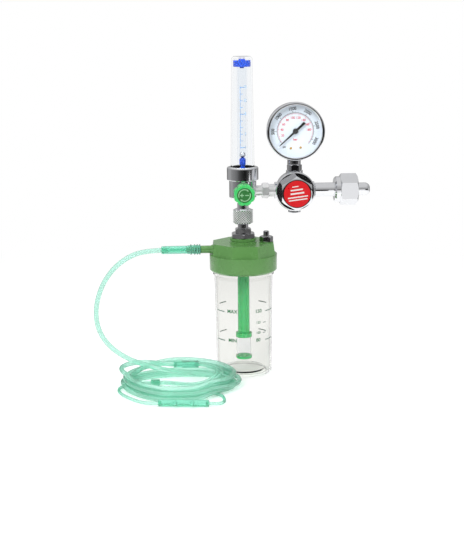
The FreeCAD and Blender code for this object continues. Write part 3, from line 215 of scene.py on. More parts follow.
def metal_finishes():
    """Chrome in its several states, with a darker copy and a dark valley band that are painted shade, brass
    and steel.
    """
    return [
        Finish("plated", PLATE, 0.06, Metallic=1.0).handled(0.018, 0.03, 0.10).rippled(0.006, 0.05, 0.0004),
        Finish("plated_casting", PLATE, 0.08, Metallic=1.0)
        .handled(0.012, 0.05, 0.13).rippled(0.009, 0.20, 0.0006),
        Finish("plated_turning", PLATE, 0.10, Metallic=1.0)
        .handled(0.01, 0.06, 0.15).rippled(0.0012, 0.02, 0.00008, stretch=(0.05, 0.05, 1)),
        Finish("satin_plate", (226, 226, 227), 0.2, Metallic=0.5).handled(0.006, 0.15, 0.24),
        # A darker copy of the chrome: painted shade for the dark that these small flats and sockets mirror.
        Finish("shaded_plate", (196, 196, 198), 0.08, Metallic=1.0).handled(0.01, 0.05, 0.12),
        # A near-black finish that paints the shade between the knurl's points.
        Finish("valley_shade", (34, 34, 36), 0.4, Metallic=0.3).handled(0.002, 0.34, 0.46),
        Finish("plated_knurl", (240, 240, 241), 0.2, Metallic=0.3)
        .handled(0.003, 0.14, 0.26).rippled(0.0008, 0.1, 0.00005),
        Finish("brass_thread", (206, 190, 150), 0.26, Metallic=1.0)
        .mottled(0.004, (212, 198, 160), (184, 164, 120)).handled(0.002, 0.2, 0.34),
        Finish("brass", (214, 178, 96), 0.25, Metallic=1.0).mottled(0.006, (222, 186, 104), (190, 150, 74))
        .handled(0.004, 0.18, 0.34).rippled(0.002, 0.1, 0.0001),
        Finish("steel", (176, 177, 180), 0.25, Metallic=1.0).handled(0.004, 0.18, 0.32),
        Finish("ball", (205, 206, 210), 0.05, Metallic=1.0).handled(0.004, 0.03, 0.07),
    ]


def solid_finishes():
    """Rubber, coloured plastics, the dial, the needle and the label."""
    return [
        Finish("rubber", (26, 26, 27), 0.6).handled(0.003, 0.5, 0.7).rippled(0.0007, 0.3, 0.0001),
        Finish("silicone", (222, 224, 226), 0.4, Transmission_Weight=0.3)
        .mottled(0.004, (226, 228, 230), (212, 215, 218)).handled(0.003, 0.32, 0.48),
        Finish("knob", (80, 215, 120), 0.26, Subsurface_Weight=0.3, Subsurface_Scale=0.004, Coat_Weight=0.3,
               Coat_Roughness=0.1).mottled(0.01, (84, 220, 124), (66, 204, 106))
        .handled(0.006, 0.2, 0.34).rippled(0.0016, 0.08, 0.0001),
        Finish("inlay", (44, 122, 54), 0.4).mottled(0.004, (48, 128, 58), (36, 108, 46))
        .handled(0.003, 0.32, 0.5).rippled(0.0008, 0.2, 0.0001),
        Finish("inlay_mark", (150, 208, 156), 0.4).handled(0.003, 0.32, 0.5),
        Finish("lid", (98, 152, 82), 0.26, Coat_Weight=0.35, Coat_Roughness=0.12)
        .mottled(0.02, (102, 156, 86), (90, 144, 74)).handled(0.012, 0.2, 0.32)
        .rippled(0.0011, 0.12, 0.00012, detail=4.0),
        # The dip tube's darker edges are partly painted shade and partly the green plastic's own colour over
        # a longer way.
        Finish("dip", (74, 196, 112), 0.2, Transmission_Weight=0.35, Subsurface_Weight=0.2,
               Subsurface_Scale=0.003).darker_at_edges((96, 212, 134), (34, 142, 72))
        .handled(0.01, 0.14, 0.26).rippled(0.002, 0.08, 0.0001).lets_light_by(0.4, (190, 235, 200)),
        Finish("blue", (36, 84, 214), 0.3, Transmission_Weight=0.2)
        .mottled(0.006, (40, 92, 220), (26, 66, 190)).handled(0.004, 0.22, 0.36),
        Finish("dial", (224, 233, 243), 0.5).mottled(0.008, (226, 235, 244), (218, 228, 240))
        .handled(0.004, 0.42, 0.58),
        Finish("needle", (16, 16, 18), 0.45).handled(0.002, 0.38, 0.55),
        Finish("label", (222, 12, 24), 0.32).mottled(0.005, (224, 14, 26), (212, 8, 18))
        .handled(0.004, 0.26, 0.4),
    ]


def clear_finishes():
    """Clear tubes, bottle and lens, and the teal vinyl and fittings of the cannula."""
    return [
        # The darker edges of these finishes are painted shade, partly also the plastic's own colour over a
        # longer way through the wall.
        Finish("clear_tube", (250, 251, 252), 0.02, IOR=1.07, Transmission_Weight=1.0)
        .darker_at_edges((250, 251, 252), (150, 158, 164), 0.7, 1.0)
        .handled(0.01, 0.0, 0.012).lets_light_by(0.92),
        Finish("measuring_glass", (248, 250, 252), 0.02, IOR=1.06, Transmission_Weight=1.0)
        .darker_at_edges((248, 250, 252), (120, 140, 172), 0.6, 1.0)
        .handled(0.01, 0.0, 0.012).lets_light_by(0.92),
        Finish("clear_bottle", (240, 242, 242), 0.03, IOR=1.07, Transmission_Weight=1.0)
        .darker_at_edges((240, 240, 238), (168, 171, 170), 0.5, 1.0).handled(0.014, 0.0, 0.03)
        .rippled(0.03, 0.006, 0.0004, stretch=(1, 1, 0.35)).lets_light_by(0.88, (236, 240, 239)),
        Finish("lens", (252, 253, 253), 0.02, IOR=1.2, Transmission_Weight=1.0)
        .handled(0.01, 0.01, 0.03).lets_light_by(0.95),
        Finish("vinyl", (196, 240, 226), 0.06, IOR=1.08, Transmission_Weight=0.7, Coat_Weight=1.0,
               Coat_Roughness=0.1).darker_at_edges((200, 241, 228), (50, 170, 134), 0.25)
        .handled(0.01, 0.03, 0.07).lets_light_by(0.7, (200, 240, 226)),
        Finish("rib", (96, 190, 158), 0.16, Transmission_Weight=0.2, Coat_Weight=0.6, Coat_Roughness=0.06)
        .darker_at_edges((112, 200, 170), (24, 120, 92), 0.2, 0.9).handled(0.003, 0.12, 0.2),
        Finish("fitting", (150, 230, 206), 0.16, IOR=1.3, Transmission_Weight=0.8, Coat_Weight=0.8,
               Coat_Roughness=0.05).darker_at_edges((150, 230, 206), (34, 156, 120), 0.25)
        .handled(0.006, 0.03, 0.08).lets_light_by(0.6, (180, 238, 220)),
    ]


def make_finishes():
    """Every finish of the set, by name."""
    made = metal_finishes() + solid_finishes() + clear_finishes()
    for name, shade in PRINTS.items():
        deep = tuple(0.9 * c for c in shade)
        made.append(Finish(name, shade, 0.48).mottled(0.0008, shade, deep).handled(0.002, 0.4, 0.58))
    return {one.name: one.made for one in made}


def dress(f):
    """Give every CAD node its finish."""
    plan = {
        "satin_plate": "link_nipple",
        "plated": "inlet_nut inlet_stem bonnet gauge_bezel relief_plug",
        # Painted shade: the darker copy of the chrome for the small flats and sockets that mirror dark.
        "shaded_plate": "gauge_socket inlet_adaptor lock_nut relief_collar relief_pin",
        "plated_casting": "regulator_body flow_body",
        "plated_turning": "tube_cap union_nut gauge_case valve_plug",
        "brass": "inlet_filter spring_button poppet dial_screws gauge_pinion sector_gear movement_frame "
                 "bourdon_tube movement_link valve_gland",
        "steel": "main_spring poppet_spring valve_spindle relief_spring",
        "ball": "float_ball",
        "rubber": "diaphragm union_seal lid_gasket",
        "silicone": "tube_seal",
        "knob": "knob",
        "inlay": "knob_disc",
        "lid": "lid",
        "dip": "dip_tube diffuser_ring",
        "blue": "float_seat top_bush",
        "clear_tube": "outer_tube diffuser",
        "measuring_glass": "metering_tube",
        "clear_bottle": "bottle",
        "lens": "gauge_lens",
        "dial": "gauge_dial",
        "needle": "gauge_needle",
        "label": "label_disc",
        "fitting": "tube_connector y_junction slider nasal_piece",
        "vinyl": "supply_tube tube_coil lip_tube_left lip_tube_right",
    }
    for name, members in plan.items():
        for node in members.split():
            mesh = nodes[node].data
            mesh.materials.clear()
            mesh.materials.append(f[name])


# Hoses

# The supply tube's way from the connector down to the coil, as in the solids
SUPPLY_WAY = [
    (-0.1960, 0.0000, -0.0605), (-0.2140, 0.0000, -0.0605), (-0.2335, -0.0008, -0.0645),
    (-0.2520, -0.0030, -0.0768), (-0.2660, -0.0065, -0.0965), (-0.2725, -0.0110, -0.1210),
    (-0.2690, -0.0150, -0.1430), (-0.2560, -0.0195, -0.1595), (-0.2380, -0.0245, -0.1700),
    (-0.2185, -0.0285, -0.1762), (-0.2030, -0.0310, -0.1796),
]
# From there under the Y-piece to the right, where the first turn starts
COIL_START = [
    (-0.1890, -0.0328, -0.1814), (-0.1765, -0.0325, -0.1828), (-0.1645, -0.0325, -0.1840),
    (-0.1545, -0.0342, -0.1852), (-0.1456, -0.0410, -0.1864), (-0.1418, -0.0515, -0.1876),
]
COIL_CENTRE = Vector((-0.187, -0.050, FLOOR_Z))
# The outer turn's line: degrees counter-clockwise from the right, and distance from the centre in mm
COIL_OUTLINE = [
    (0, 56.0), (22, 54.5), (52, 57.0), (90, 59.5), (128, 58.0), (150, 59.0), (175, 58.8), (195, 55.8),
    (215, 54.0), (235, 55.0), (250, 57.0), (270, 55.5), (290, 57.0), (308, 54.0), (328, 52.0), (345, 54.0),
    (360, 56.0),
]
# How far inside that line each turn lies to the right, in front, to the left and behind, and on which layer
COIL_TURNS = [
    ((9.0, 0.3), (10.9, 0.0), (10.9, 0.0), (27.0, 0.0)),
    ((3.8, 0.0), (5.4, 0.0), (5.5, 0.0), (18.0, 0.0)),
    ((-1.4, 0.0), (0.0, 0.0), (0.0, 0.0), (9.0, 0.0)),
    ((-6.4, 0.6), (2.7, 1.0), (2.7, 0.92), (0.0, 1.15)),
    ((2.2, 1.15), (8.2, 0.95), (8.2, 0.92), (4.6, 2.05)),
    ((-1.2, 2.0), (5.4, 1.88), (5.4, 1.88), (5.4, 1.88)),
]
# Where the thin tubes run below the coil: degrees from, to, and the lift that they give in mm
THIN_TUBE_CROSSINGS = [(158, 196, 3.5), (292, 330, 3.5)]
# From the last turn back to the right, into the Y-piece
COIL_END = [
    (-0.2412, -0.0545, -0.1763), (-0.2455, -0.0440, -0.1762), (-0.2465, -0.0325, -0.1761),
    (-0.2416, -0.0221, -0.1760), (-0.2322, -0.0155, -0.1759), (-0.2207, -0.0145, -0.1758),
    (-0.2103, -0.0194, -0.1757), (-0.2030, -0.0228, -0.1757), (-0.1900, -0.0266, -0.1757),
]
# The thin tubes from the Y-piece under the coil to the face piece
LIP_LEFT_WAY = [
    (-0.1705, -0.0288, -0.1756), (-0.1605, -0.0300, -0.1763), (-0.1525, -0.0365, -0.1769),
    (-0.1480, -0.0465, -0.1769), (-0.1500, -0.0565, -0.1793), (-0.1590, -0.0620, -0.1838),
    (-0.1720, -0.0600, -0.1873), (-0.1860, -0.0530, -0.1884), (-0.1995, -0.0451, -0.1886),
    (-0.2225, -0.0451, -0.1890), (-0.2350, -0.0465, -0.19005), (-0.2455, -0.0535, -0.19005),
    (-0.2490, -0.0655, -0.19005), (-0.2455, -0.0790, -0.19005), (-0.2380, -0.0915, -0.19005),
    (-0.2295, -0.1030, -0.19005), (-0.2215, -0.1105, -0.18975), (-0.2130, -0.1158, -0.1888),
    (-0.2055, -0.1166, -0.1883),
]
LIP_RIGHT_WAY = [
    (-0.1705, -0.0252, -0.1756), (-0.1595, -0.0263, -0.1763), (-0.1495, -0.0335, -0.1769),
    (-0.1438, -0.0450, -0.1769), (-0.1455, -0.0575, -0.1788), (-0.1550, -0.0655, -0.1833),
    (-0.1690, -0.0655, -0.1873), (-0.1840, -0.0585, -0.1884), (-0.2005, -0.0489, -0.1886),
    (-0.2195, -0.0489, -0.1888), (-0.2265, -0.0555, -0.19005), (-0.2265, -0.0655, -0.19005),
    (-0.2195, -0.0735, -0.19005), (-0.2080, -0.0778, -0.19005), (-0.1930, -0.0800, -0.19005),
    (-0.1780, -0.0810, -0.19005), (-0.1645, -0.0805, -0.19005), (-0.1530, -0.0835, -0.19005),
    (-0.1457, -0.0915, -0.19005), (-0.1440, -0.1020, -0.19005), (-0.1440, -0.1120, -0.19005),
    (-0.1481, -0.1186, -0.18965), (-0.1550, -0.1221, -0.1885), (-0.1625, -0.1214, -0.1883),
]


def eased(share):
    """From 0 to 1 without a kink at either end."""
    return (1 - math.cos(math.pi * min(1.0, max(0.0, share)))) / 2


def coil_way():
    """The coil's turns, clockwise from above, from the inside out and then upon each other."""
    reaches = [quarter for turn in COIL_TURNS for quarter in turn]
    points = []
    steps = 5
    lowest, layer_rise = 2.6, 5.0
    for q in range(len(reaches) - 2):
        (inset, layer), (next_inset, next_layer) = reaches[q], reaches[q + 1]
        for s in range(steps):
            share = s / steps
            degrees = (-90.0 * (q + share)) % 360
            for (a, near), (b, far) in zip(COIL_OUTLINE, COIL_OUTLINE[1:]):
                if a <= degrees <= b:
                    reach = near + (far - near) * eased((degrees - a) / (b - a))
            reach -= inset + (next_inset - inset) * eased(share)
            height = lowest + layer_rise * (layer + (next_layer - layer) * eased(share))
            for start, end, lift in THIN_TUBE_CROSSINGS:
                if start < degrees < end:
                    third = (end - start) / 3
                    height += lift * eased((degrees - start) / third) * eased((end - degrees) / third)
            turned = math.radians(degrees)
            way = Vector((math.cos(turned) * reach, math.sin(turned) * reach, height))
            points.append(COIL_CENTRE + mm * way)
    return points[1:]


def hose(name, way, radius):
    """A round hose on one smooth line that its way's points pull into shape."""
    curve = bpy.data.curves.new(name, "CURVE")
    curve.dimensions = "3D"
    spline = curve.splines.new("NURBS")
    spline.points.add(len(way) - 1)
    for knot, place in zip(spline.points, way):
        knot.co = (*place, 1.0)
    spline.order_u = 3
    spline.use_endpoint_u = True
    curve.resolution_u = 6
    curve.bevel_depth = radius
    curve.bevel_resolution = 6
    curve.use_fill_caps = True
    return placed(name, curve)


def length_of(made):
    """A hose's own length along its line."""
    bare = made.data.copy()
    bare.bevel_depth = 0.0
    line = placed("line", bare)
    mesh = settled(line)
    ends = ([mesh.vertices[i].co for i in edge.vertices] for edge in mesh.edges)
    total = sum((one - other).length for one, other in ends)
    bpy.data.objects.remove(line)
    bpy.data.curves.remove(bare)
    bpy.data.meshes.remove(mesh)
    return total


def lay_hoses(f):
    """The supply hose with its coil, and the two thin hoses of the face piece."""
    supply_across, thin_across = 0.005, 0.0033
    supply = hose("supply_hose", SUPPLY_WAY + COIL_START + coil_way() + COIL_END, supply_across / 2)
    right = hose("lip_hose_right", LIP_RIGHT_WAY, thin_across / 2)
    left = hose("lip_hose_left", LIP_LEFT_WAY, thin_across / 2)
    for made, stands_for in (
            (supply, ("supply_tube", "tube_coil")), (right, ("lip_tube_right",)), (left, ("lip_tube_left",))):
        made.data.materials.append(f["vinyl"])
        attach(made, "root")
        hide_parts(*stands_for)
    round(length_of(supply), 2)
    for made, way in ((right, LIP_RIGHT_WAY), (left, LIP_LEFT_WAY)):
        round(length_of(made), 3)


# What repeats, grown by rule

def new_rule(name, sockets):
    """An empty geometry tree with named inputs, and its first and last node."""
    tree = bpy.data.node_groups.new(name, "GeometryNodeTree")
    for label, kind in sockets:
        tree.interface.new_socket(label, in_out="INPUT", socket_type="NodeSocket" + kind)
    tree.interface.new_socket("Mesh", in_out="OUTPUT", socket_type="NodeSocketGeometry")
    return tree, tree.nodes.new("NodeGroupInput"), tree.nodes.new("NodeGroupOutput")


def sum_of(tree, operation, *terms):
    """One step of arithmetic between sockets or plain numbers."""
    node = tree.nodes.new("ShaderNodeMath")
    node.operation = operation
    for slot, term in zip(node.inputs, terms):
        if isinstance(term, (int, float)):
            slot.default_value = term
        else:
            tree.links.new(term, slot)
    return node.outputs[0]


def joined(tree, kind, **terms):
    """A node of that kind with its named inputs linked or set."""
    node = tree.nodes.new(kind)
    for label, term in terms.items():
        slot = node.inputs[label.replace("_", " ")]
        if isinstance(term, bpy.types.NodeSocket):
            tree.links.new(term, slot)
        else:
            slot.default_value = term
    return node


def on_points(tree, start, end, count, place, shape, turned):
    """Set the shape on each place, make it real and give it its finish."""
    points = joined(tree, "GeometryNodePoints", Count=count, Position=place)
    spin = joined(tree, "FunctionNodeEulerToRotation", Euler=turned)
    spread = joined(tree, "GeometryNodeInstanceOnPoints", Points=points.outputs[0], Instance=shape,
                    Rotation=spin.outputs[0])
    real = joined(tree, "GeometryNodeRealizeInstances", Geometry=spread.outputs[0])
    dressed = joined(tree, "GeometryNodeSetMaterial", Geometry=real.outputs[0],
                     Material=start.outputs["Finish"])
    tree.links.new(dressed.outputs[0], end.inputs[0])


def tick_ring_rule():
    """Bars on an arc in the XZ plane, each pointing away from its middle."""
    tree, start, end = new_rule("tick_ring", [
        ("Count", "Int"), ("Radius", "Float"), ("Length", "Float"), ("Width", "Float"),
        ("Thickness", "Float"), ("Start", "Float"), ("Step", "Float"), ("Finish", "Material")])
    sizes = start.outputs
    number = tree.nodes.new("GeometryNodeInputIndex").outputs[0]
    angle = sum_of(tree, "ADD", sizes["Start"], sum_of(tree, "MULTIPLY", number, sizes["Step"]))
    place = joined(tree, "ShaderNodeCombineXYZ",
                   X=sum_of(tree, "MULTIPLY", sizes["Radius"], sum_of(tree, "COSINE", angle)),
                   Z=sum_of(tree, "MULTIPLY", sizes["Radius"], sum_of(tree, "SINE", angle)))
    size = joined(tree, "ShaderNodeCombineXYZ", X=sizes["Length"], Y=sizes["Thickness"], Z=sizes["Width"])
    bar = joined(tree, "GeometryNodeMeshCube", Size=size.outputs[0])
    turned = joined(tree, "ShaderNodeCombineXYZ", Y=sum_of(tree, "MULTIPLY", angle, -1.0))
    on_points(tree, start, end, sizes["Count"], place.outputs[0], bar.outputs[0], turned.outputs[0])
    return tree


def tick_row_rule():
    """Equal bars one above the other."""
    tree, start, end = new_rule("tick_row", [
        ("Count", "Int"), ("Foot", "Float"), ("Step", "Float"), ("Length", "Float"), ("Width", "Float"),
        ("Finish", "Material")])
    sizes = start.outputs
    number = tree.nodes.new("GeometryNodeInputIndex").outputs[0]
    height = sum_of(tree, "ADD", sizes["Foot"], sum_of(tree, "MULTIPLY", number, sizes["Step"]))
    place = joined(tree, "ShaderNodeCombineXYZ", Z=height)
    bar = joined(tree, "GeometryNodeMeshGrid", Size_X=sizes["Length"], Size_Y=sizes["Width"],
                 Vertices_X=7, Vertices_Y=2)
    turned = joined(tree, "ShaderNodeCombineXYZ", X=math.pi / 2)
    on_points(tree, start, end, sizes["Count"], place.outputs[0], bar.outputs[0], turned.outputs[0])
    return tree


def knurl_rule():
    """Staggered rows of small four-sided points round an upright barrel."""
    tree, start, end = new_rule("knurl", [
        ("Count", "Int"), ("Rows", "Int"), ("Pitch", "Float"), ("Radius", "Float"), ("Foot", "Float"),
        ("Base", "Float"), ("Rise", "Float"), ("Finish", "Material")])
    sizes = start.outputs
    number = tree.nodes.new("GeometryNodeInputIndex").outputs[0]
    row = sum_of(tree, "FLOOR", sum_of(tree, "DIVIDE", number, sizes["Count"]))
    shift = sum_of(tree, "MULTIPLY", sum_of(tree, "MODULO", row, 2.0), 0.5)
    turns = sum_of(tree, "DIVIDE", sum_of(tree, "ADD", number, shift), sizes["Count"])
    angle = sum_of(tree, "MULTIPLY", turns, 2 * math.pi)
    place = joined(tree, "ShaderNodeCombineXYZ",
                   X=sum_of(tree, "MULTIPLY", sizes["Radius"], sum_of(tree, "COSINE", angle)),
                   Y=sum_of(tree, "MULTIPLY", sizes["Radius"], sum_of(tree, "SINE", angle)),
                   Z=sum_of(tree, "ADD", sizes["Foot"], sum_of(tree, "MULTIPLY", row, sizes["Pitch"])))
    point = joined(tree, "GeometryNodeMeshCone", Vertices=4, Radius_Top=0.0, Radius_Bottom=sizes["Base"],
                   Depth=sizes["Rise"])
    turned = joined(tree, "ShaderNodeCombineXYZ", Y=math.pi / 2, Z=angle)
    on_points(tree, start, end, sum_of(tree, "MULTIPLY", sizes["Count"], sizes["Rows"]), place.outputs[0],
              point.outputs[0], turned.outputs[0])
    return tree


def thread_rule():
    """A three-sided ridge wound round an axis."""
    tree, start, end = new_rule("thread", [
        ("Turns", "Float"), ("Radius", "Float"), ("Height", "Float"), ("Ridge", "Float"),
        ("Finish", "Material")])
    sizes = start.outputs
    line = joined(tree, "GeometryNodeCurveSpiral", Resolution=40, Rotations=sizes["Turns"],
                  Start_Radius=sizes["Radius"], End_Radius=sizes["Radius"], Height=sizes["Height"])
    ridge = joined(tree, "GeometryNodeCurvePrimitiveCircle", Resolution=3, Radius=sizes["Ridge"])
    swept = joined(tree, "GeometryNodeCurveToMesh", Curve=line.outputs[0], Profile_Curve=ridge.outputs[0],
                   Fill_Caps=True)
    real = joined(tree, "GeometryNodeRealizeInstances", Geometry=swept.outputs[0])
    dressed = joined(tree, "GeometryNodeSetMaterial", Geometry=real.outputs[0], Material=sizes["Finish"])
    tree.links.new(dressed.outputs[0], end.inputs[0])
    return tree


def grown(tree, **sizes):
    """The plain mesh that a rule gives with these sizes."""
    seed = placed("seed", bpy.data.meshes.new("seed"))
    rule = seed.modifiers.new("rule", "NODES")
    rule.node_group = tree
    for item in tree.interface.items_tree:
        if item.in_out == "INPUT" and item.name in sizes:
            rule[item.identifier] = sizes[item.name]
    mesh = settled(seed)
    seed.modifiers.clear()
    bpy.data.objects.remove(seed)
    return mesh


# Print and small raised work

UPRIGHT = Matrix.Rotation(math.pi / 2, 4, "X")


class Layer:
    """Small shapes of one finish on one body, gathered into one piece."""

    def __init__(self, name, made, body, slot):
        self.name, self.made, self.body, self.slot = name, made, body, slot
        self.shape = bmesh.new()

    def add(self, mesh, place=None, bend=None):
        """Take a mesh in at its place, bent round a wall if one is given, and let go of the mesh."""
        if place is not None:
            mesh.transform(place)
        if bend is not None:
            for corner in mesh.vertices:
                corner.co = bend(corner.co)
        self.shape.from_mesh(mesh)
        bpy.data.meshes.remove(mesh)

    def finish(self):
        """One object at the origin, on its body."""
        mesh = mesh_of(self.shape, self.name)
        mesh.materials.clear()
        mesh.materials.append(self.made)
        for face in mesh.polygons:
            face.material_index = 0
        piece = placed(self.name, mesh)
        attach(piece, self.body)
        return piece


def words(text, height, width=1.0):
    """Plain lettering as a mesh in the XY plane, centred on the origin."""
    line = bpy.data.curves.new("words", "FONT")
    line.body = text
    line.size = height * 1.37
    line.offset = height * 0.035
    line.align_x = "CENTER"
    line.align_y = "CENTER"
    line.resolution_u = 3
    holder = placed("words", line)
    mesh = settled(holder)
    mesh.transform(Matrix.Diagonal((width, 1, 1, 1)))
    bpy.data.objects.remove(holder)
    return mesh


def facing_front(x, y, z, spin=0.0):
    """From the XY plane to a wall that faces the front, turned in that wall by some degrees."""
    return Matrix.Translation((x, y, z)) @ UPRIGHT @ Matrix.Rotation(math.radians(spin), 4, "Z")


def arc_strip(radius, width, start, end, steps=72):
    """A flat strip along an arc in the XY plane."""
    shape = bmesh.new()
    rows = []
    for i in range(steps + 1):
        a = math.radians(start + (end - start) * i / steps)
        reaches = (radius - width / 2, radius + width / 2)
        rows.append([shape.verts.new((r * math.cos(a), r * math.sin(a), 0)) for r in reaches])
    for (a, b), (c, d) in zip(rows, rows[1:]):
        shape.faces.new((a, b, d, c))
    return mesh_of(shape, "arc_strip")


def bar_strip(length, width, steps=8):
    """A flat bar along X in the XY plane, cut across so that it can be bent."""
    shape = bmesh.new()
    rows = [[shape.verts.new((length * (i / steps - 0.5), y, 0)) for y in (-width / 2, width / 2)]
            for i in range(steps + 1)]
    for (a, b), (c, d) in zip(rows, rows[1:]):
        shape.faces.new((a, c, d, b))
    return mesh_of(shape, "bar_strip")


def slab(outline, low, high):
    """A raised flat form in the XY plane from its outline."""
    shape = bmesh.new()
    foot, crown = ([shape.verts.new((x, y, z)) for x, y in outline] for z in (low, high))
    walled(shape, foot, crown)
    shape.faces.new(crown)
    shape.faces.new(reversed(foot))
    bmesh.ops.recalc_face_normals(shape, faces=shape.faces)
    return mesh_of(shape, "slab")


def print_dial(f):
    """The gauge's scales: an outer one with tangent numbers and an inner one in red."""
    face_y = -9.57 * mm
    hub = facing_front(REGULATOR_X, face_y, GAUGE_Z)
    black = Layer("dial_black", f["black_print"], "root", "needle_black")
    red = Layer("dial_red", f["red_print"], "root", "label_red")
    flat = Matrix.Translation((REGULATOR_X, face_y, GAUGE_Z))
    rule = tick_ring_rule()
    first, last = 222.6, -43.4
    small_step, red_step, red_number_step = 8.32, 6.05, 24.2
    number_step = 5 * small_step
    number_r, red_number_r = 22.6 * mm, 13.6 * mm
    black.add(arc_strip(18.5 * mm, 0.42 * mm, last, first), hub)
    red.add(arc_strip(17.7 * mm, 0.22 * mm, last, first), hub)
    for layer, count, radius, length, width, thick, step in (
            (black, 33, 19.1, 1.2, 0.22, 0.04, small_step), (black, 7, 19.5, 2.1, 0.5, 0.05, number_step),
            (red, 44, 17.3, 0.8, 0.18, 0.04, red_step), (red, 11, 17.0, 1.4, 0.36, 0.05, red_number_step)):
        layer.add(grown(rule, Count=count, Radius=radius * mm, Length=length * mm, Width=width * mm,
                        Thickness=thick * mm, Start=math.radians(first), Step=-math.radians(step),
                        Finish=layer.made), flat)
    for i, number in enumerate(("500", "1000", "1500", "2000", "2500", "3000"), 1):
        angle = math.radians(first - number_step * i)
        black.add(words(number, 3.3 * mm, 0.9), facing_front(
            REGULATOR_X + number_r * math.cos(angle), face_y, GAUGE_Z + number_r * math.sin(angle),
            math.degrees(angle) - 90))
    for i in range(1, 10):
        angle = math.radians(first - red_number_step * i)
        red.add(words(str(20 * i), 2.6 * mm, 0.9), facing_front(
            REGULATOR_X + red_number_r * math.cos(angle), face_y, GAUGE_Z + red_number_r * math.sin(angle)))
    black.add(words("psi", 2.2 * mm), facing_front(REGULATOR_X - 11.2 * mm, face_y, GAUGE_Z - 15.9 * mm))
    red.add(words("bar", 2.4 * mm), facing_front(REGULATOR_X, face_y, GAUGE_Z - 8.6 * mm))
    black.finish()
    red.finish()


def print_flow_scale(f):
    """The flow tube's scale on its inner tube."""
    blue = Layer("flow_scale", f["blue_print"], "root", "seat_blue")
    pale = Layer("flow_numbers", f["pale_print"], "root", "dial_white")

    tube_r, print_r = 5.1 * mm, 5.17 * mm

    def round_tube(co):
        angle = co.x / tube_r
        return Vector((FLOW_X + print_r * math.sin(angle), -print_r * math.cos(angle), co.z))

    rule = tick_row_rule()
    foot, step = 45.1 * mm, 6.7556 * mm
    for count, low, gap, length, width, across in (
            (10, foot, step, 2.6, 0.42, -0.9), (2, foot, 9 * step, 4.6, 0.55, 0.1),
            (1, foot + 5 * step, step, 4.0, 0.6, -0.2)):
        blue.add(grown(rule, Count=count, Foot=low, Step=gap, Length=length * mm, Width=width * mm,
                       Finish=blue.made), Matrix.Translation((across * mm, 0, 0)), round_tube)
    past_end = 1.6 * mm
    rise = 9 * step + 2 * past_end
    upright_line = facing_front(-2.2 * mm, 0, foot + rise / 2 - past_end, 90)
    blue.add(bar_strip(rise, 0.4 * mm, 2), upright_line, round_tube)
    for i, number in ((0, "1"), (2, "3"), (5, "8"), (7, "12"), (9, "15")):
        pale.add(words(number, 3.0 * mm), facing_front(3.1 * mm, 0, foot + step * i + 0.2 * mm), round_tube)
    blue.finish()
    pale.finish()


BOTTLE_FOOT_R = 28.9 * mm
BOTTLE_LEAN = 1.4 / 100.8
BOTTLE_FOOT_Z = -187.8 * mm
BOTTLE_PRINT_R = 29.6 * mm
PRINT_LIFT = 0.08 * mm


def bottle_wall(co):
    """From a flat sheet in the XZ plane to just outside the bottle's leaning wall."""
    radius = BOTTLE_FOOT_R + BOTTLE_LEAN * (co.z - BOTTLE_FOOT_Z) + PRINT_LIFT
    angle = co.x / BOTTLE_PRINT_R
    return Vector((FLOW_X + radius * math.sin(angle), -radius * math.cos(angle), co.z))


def print_bottle(f):
    """Level marks on the bottle, for the water's highest and lowest level and between."""
    green = Layer("bottle_words", f["green_print"], "bottle", "disc_green")
    grey = Layer("bottle_marks", f["grey_print"], "bottle", "dip_green")
    per_degree = math.radians(1) * BOTTLE_PRINT_R
    side, words_side = 57, 27
    for z in (-122.0, -152.7):
        for middle, width in ((-side, 24), (side, 24), (133, 22), (-133, 22)):
            grey.add(bar_strip(width * per_degree, 1.0 * mm, 12),
                     facing_front(middle * per_degree, 0, z * mm), bottle_wall)
    for text, degrees, z, height in (
            ("MAX", -words_side, -121.2, 3.8), ("150", words_side, -121.2, 3.8),
            ("MIN", -words_side, -151.9, 3.8), ("80", words_side, -151.9, 3.8),
            ("125", words_side, -133.2, 2.6), ("100", words_side, -144.1, 2.6)):
        green.add(words(text, height * mm), facing_front(degrees * per_degree, 0, z * mm), bottle_wall)
    for z in (-133.8, -144.7):
        grey.add(bar_strip(8 * per_degree, 0.7 * mm, 6),
                 facing_front(42 * per_degree, 0, z * mm), bottle_wall)
    green.finish()
    grey.finish()


def print_label(f):
    """Plain bars where the red label has its lines."""
    white = Layer("label_bars", f["white_print"], "root", "dial_white")
    face_y = -29.15 * mm
    tilt = 7.0
    turned = math.radians(tilt)
    for rise, across, width, thick in (
            (7.6, -1.0, 6.4, 1.0), (4.2, 0.0, 12.5, 1.5), (0.6, 0.2, 14.0, 1.7), (-3.2, 0.3, 20.5, 1.3),
            (-6.0, 0.2, 19.0, 1.2)):
        x = across * math.cos(turned) - rise * math.sin(turned)
        z = across * math.sin(turned) + rise * math.cos(turned)
        place = facing_front(REGULATOR_X + x * mm, face_y, z * mm, tilt)
        white.add(bar_strip(width * mm, thick * mm, 4), place)
    white.finish()


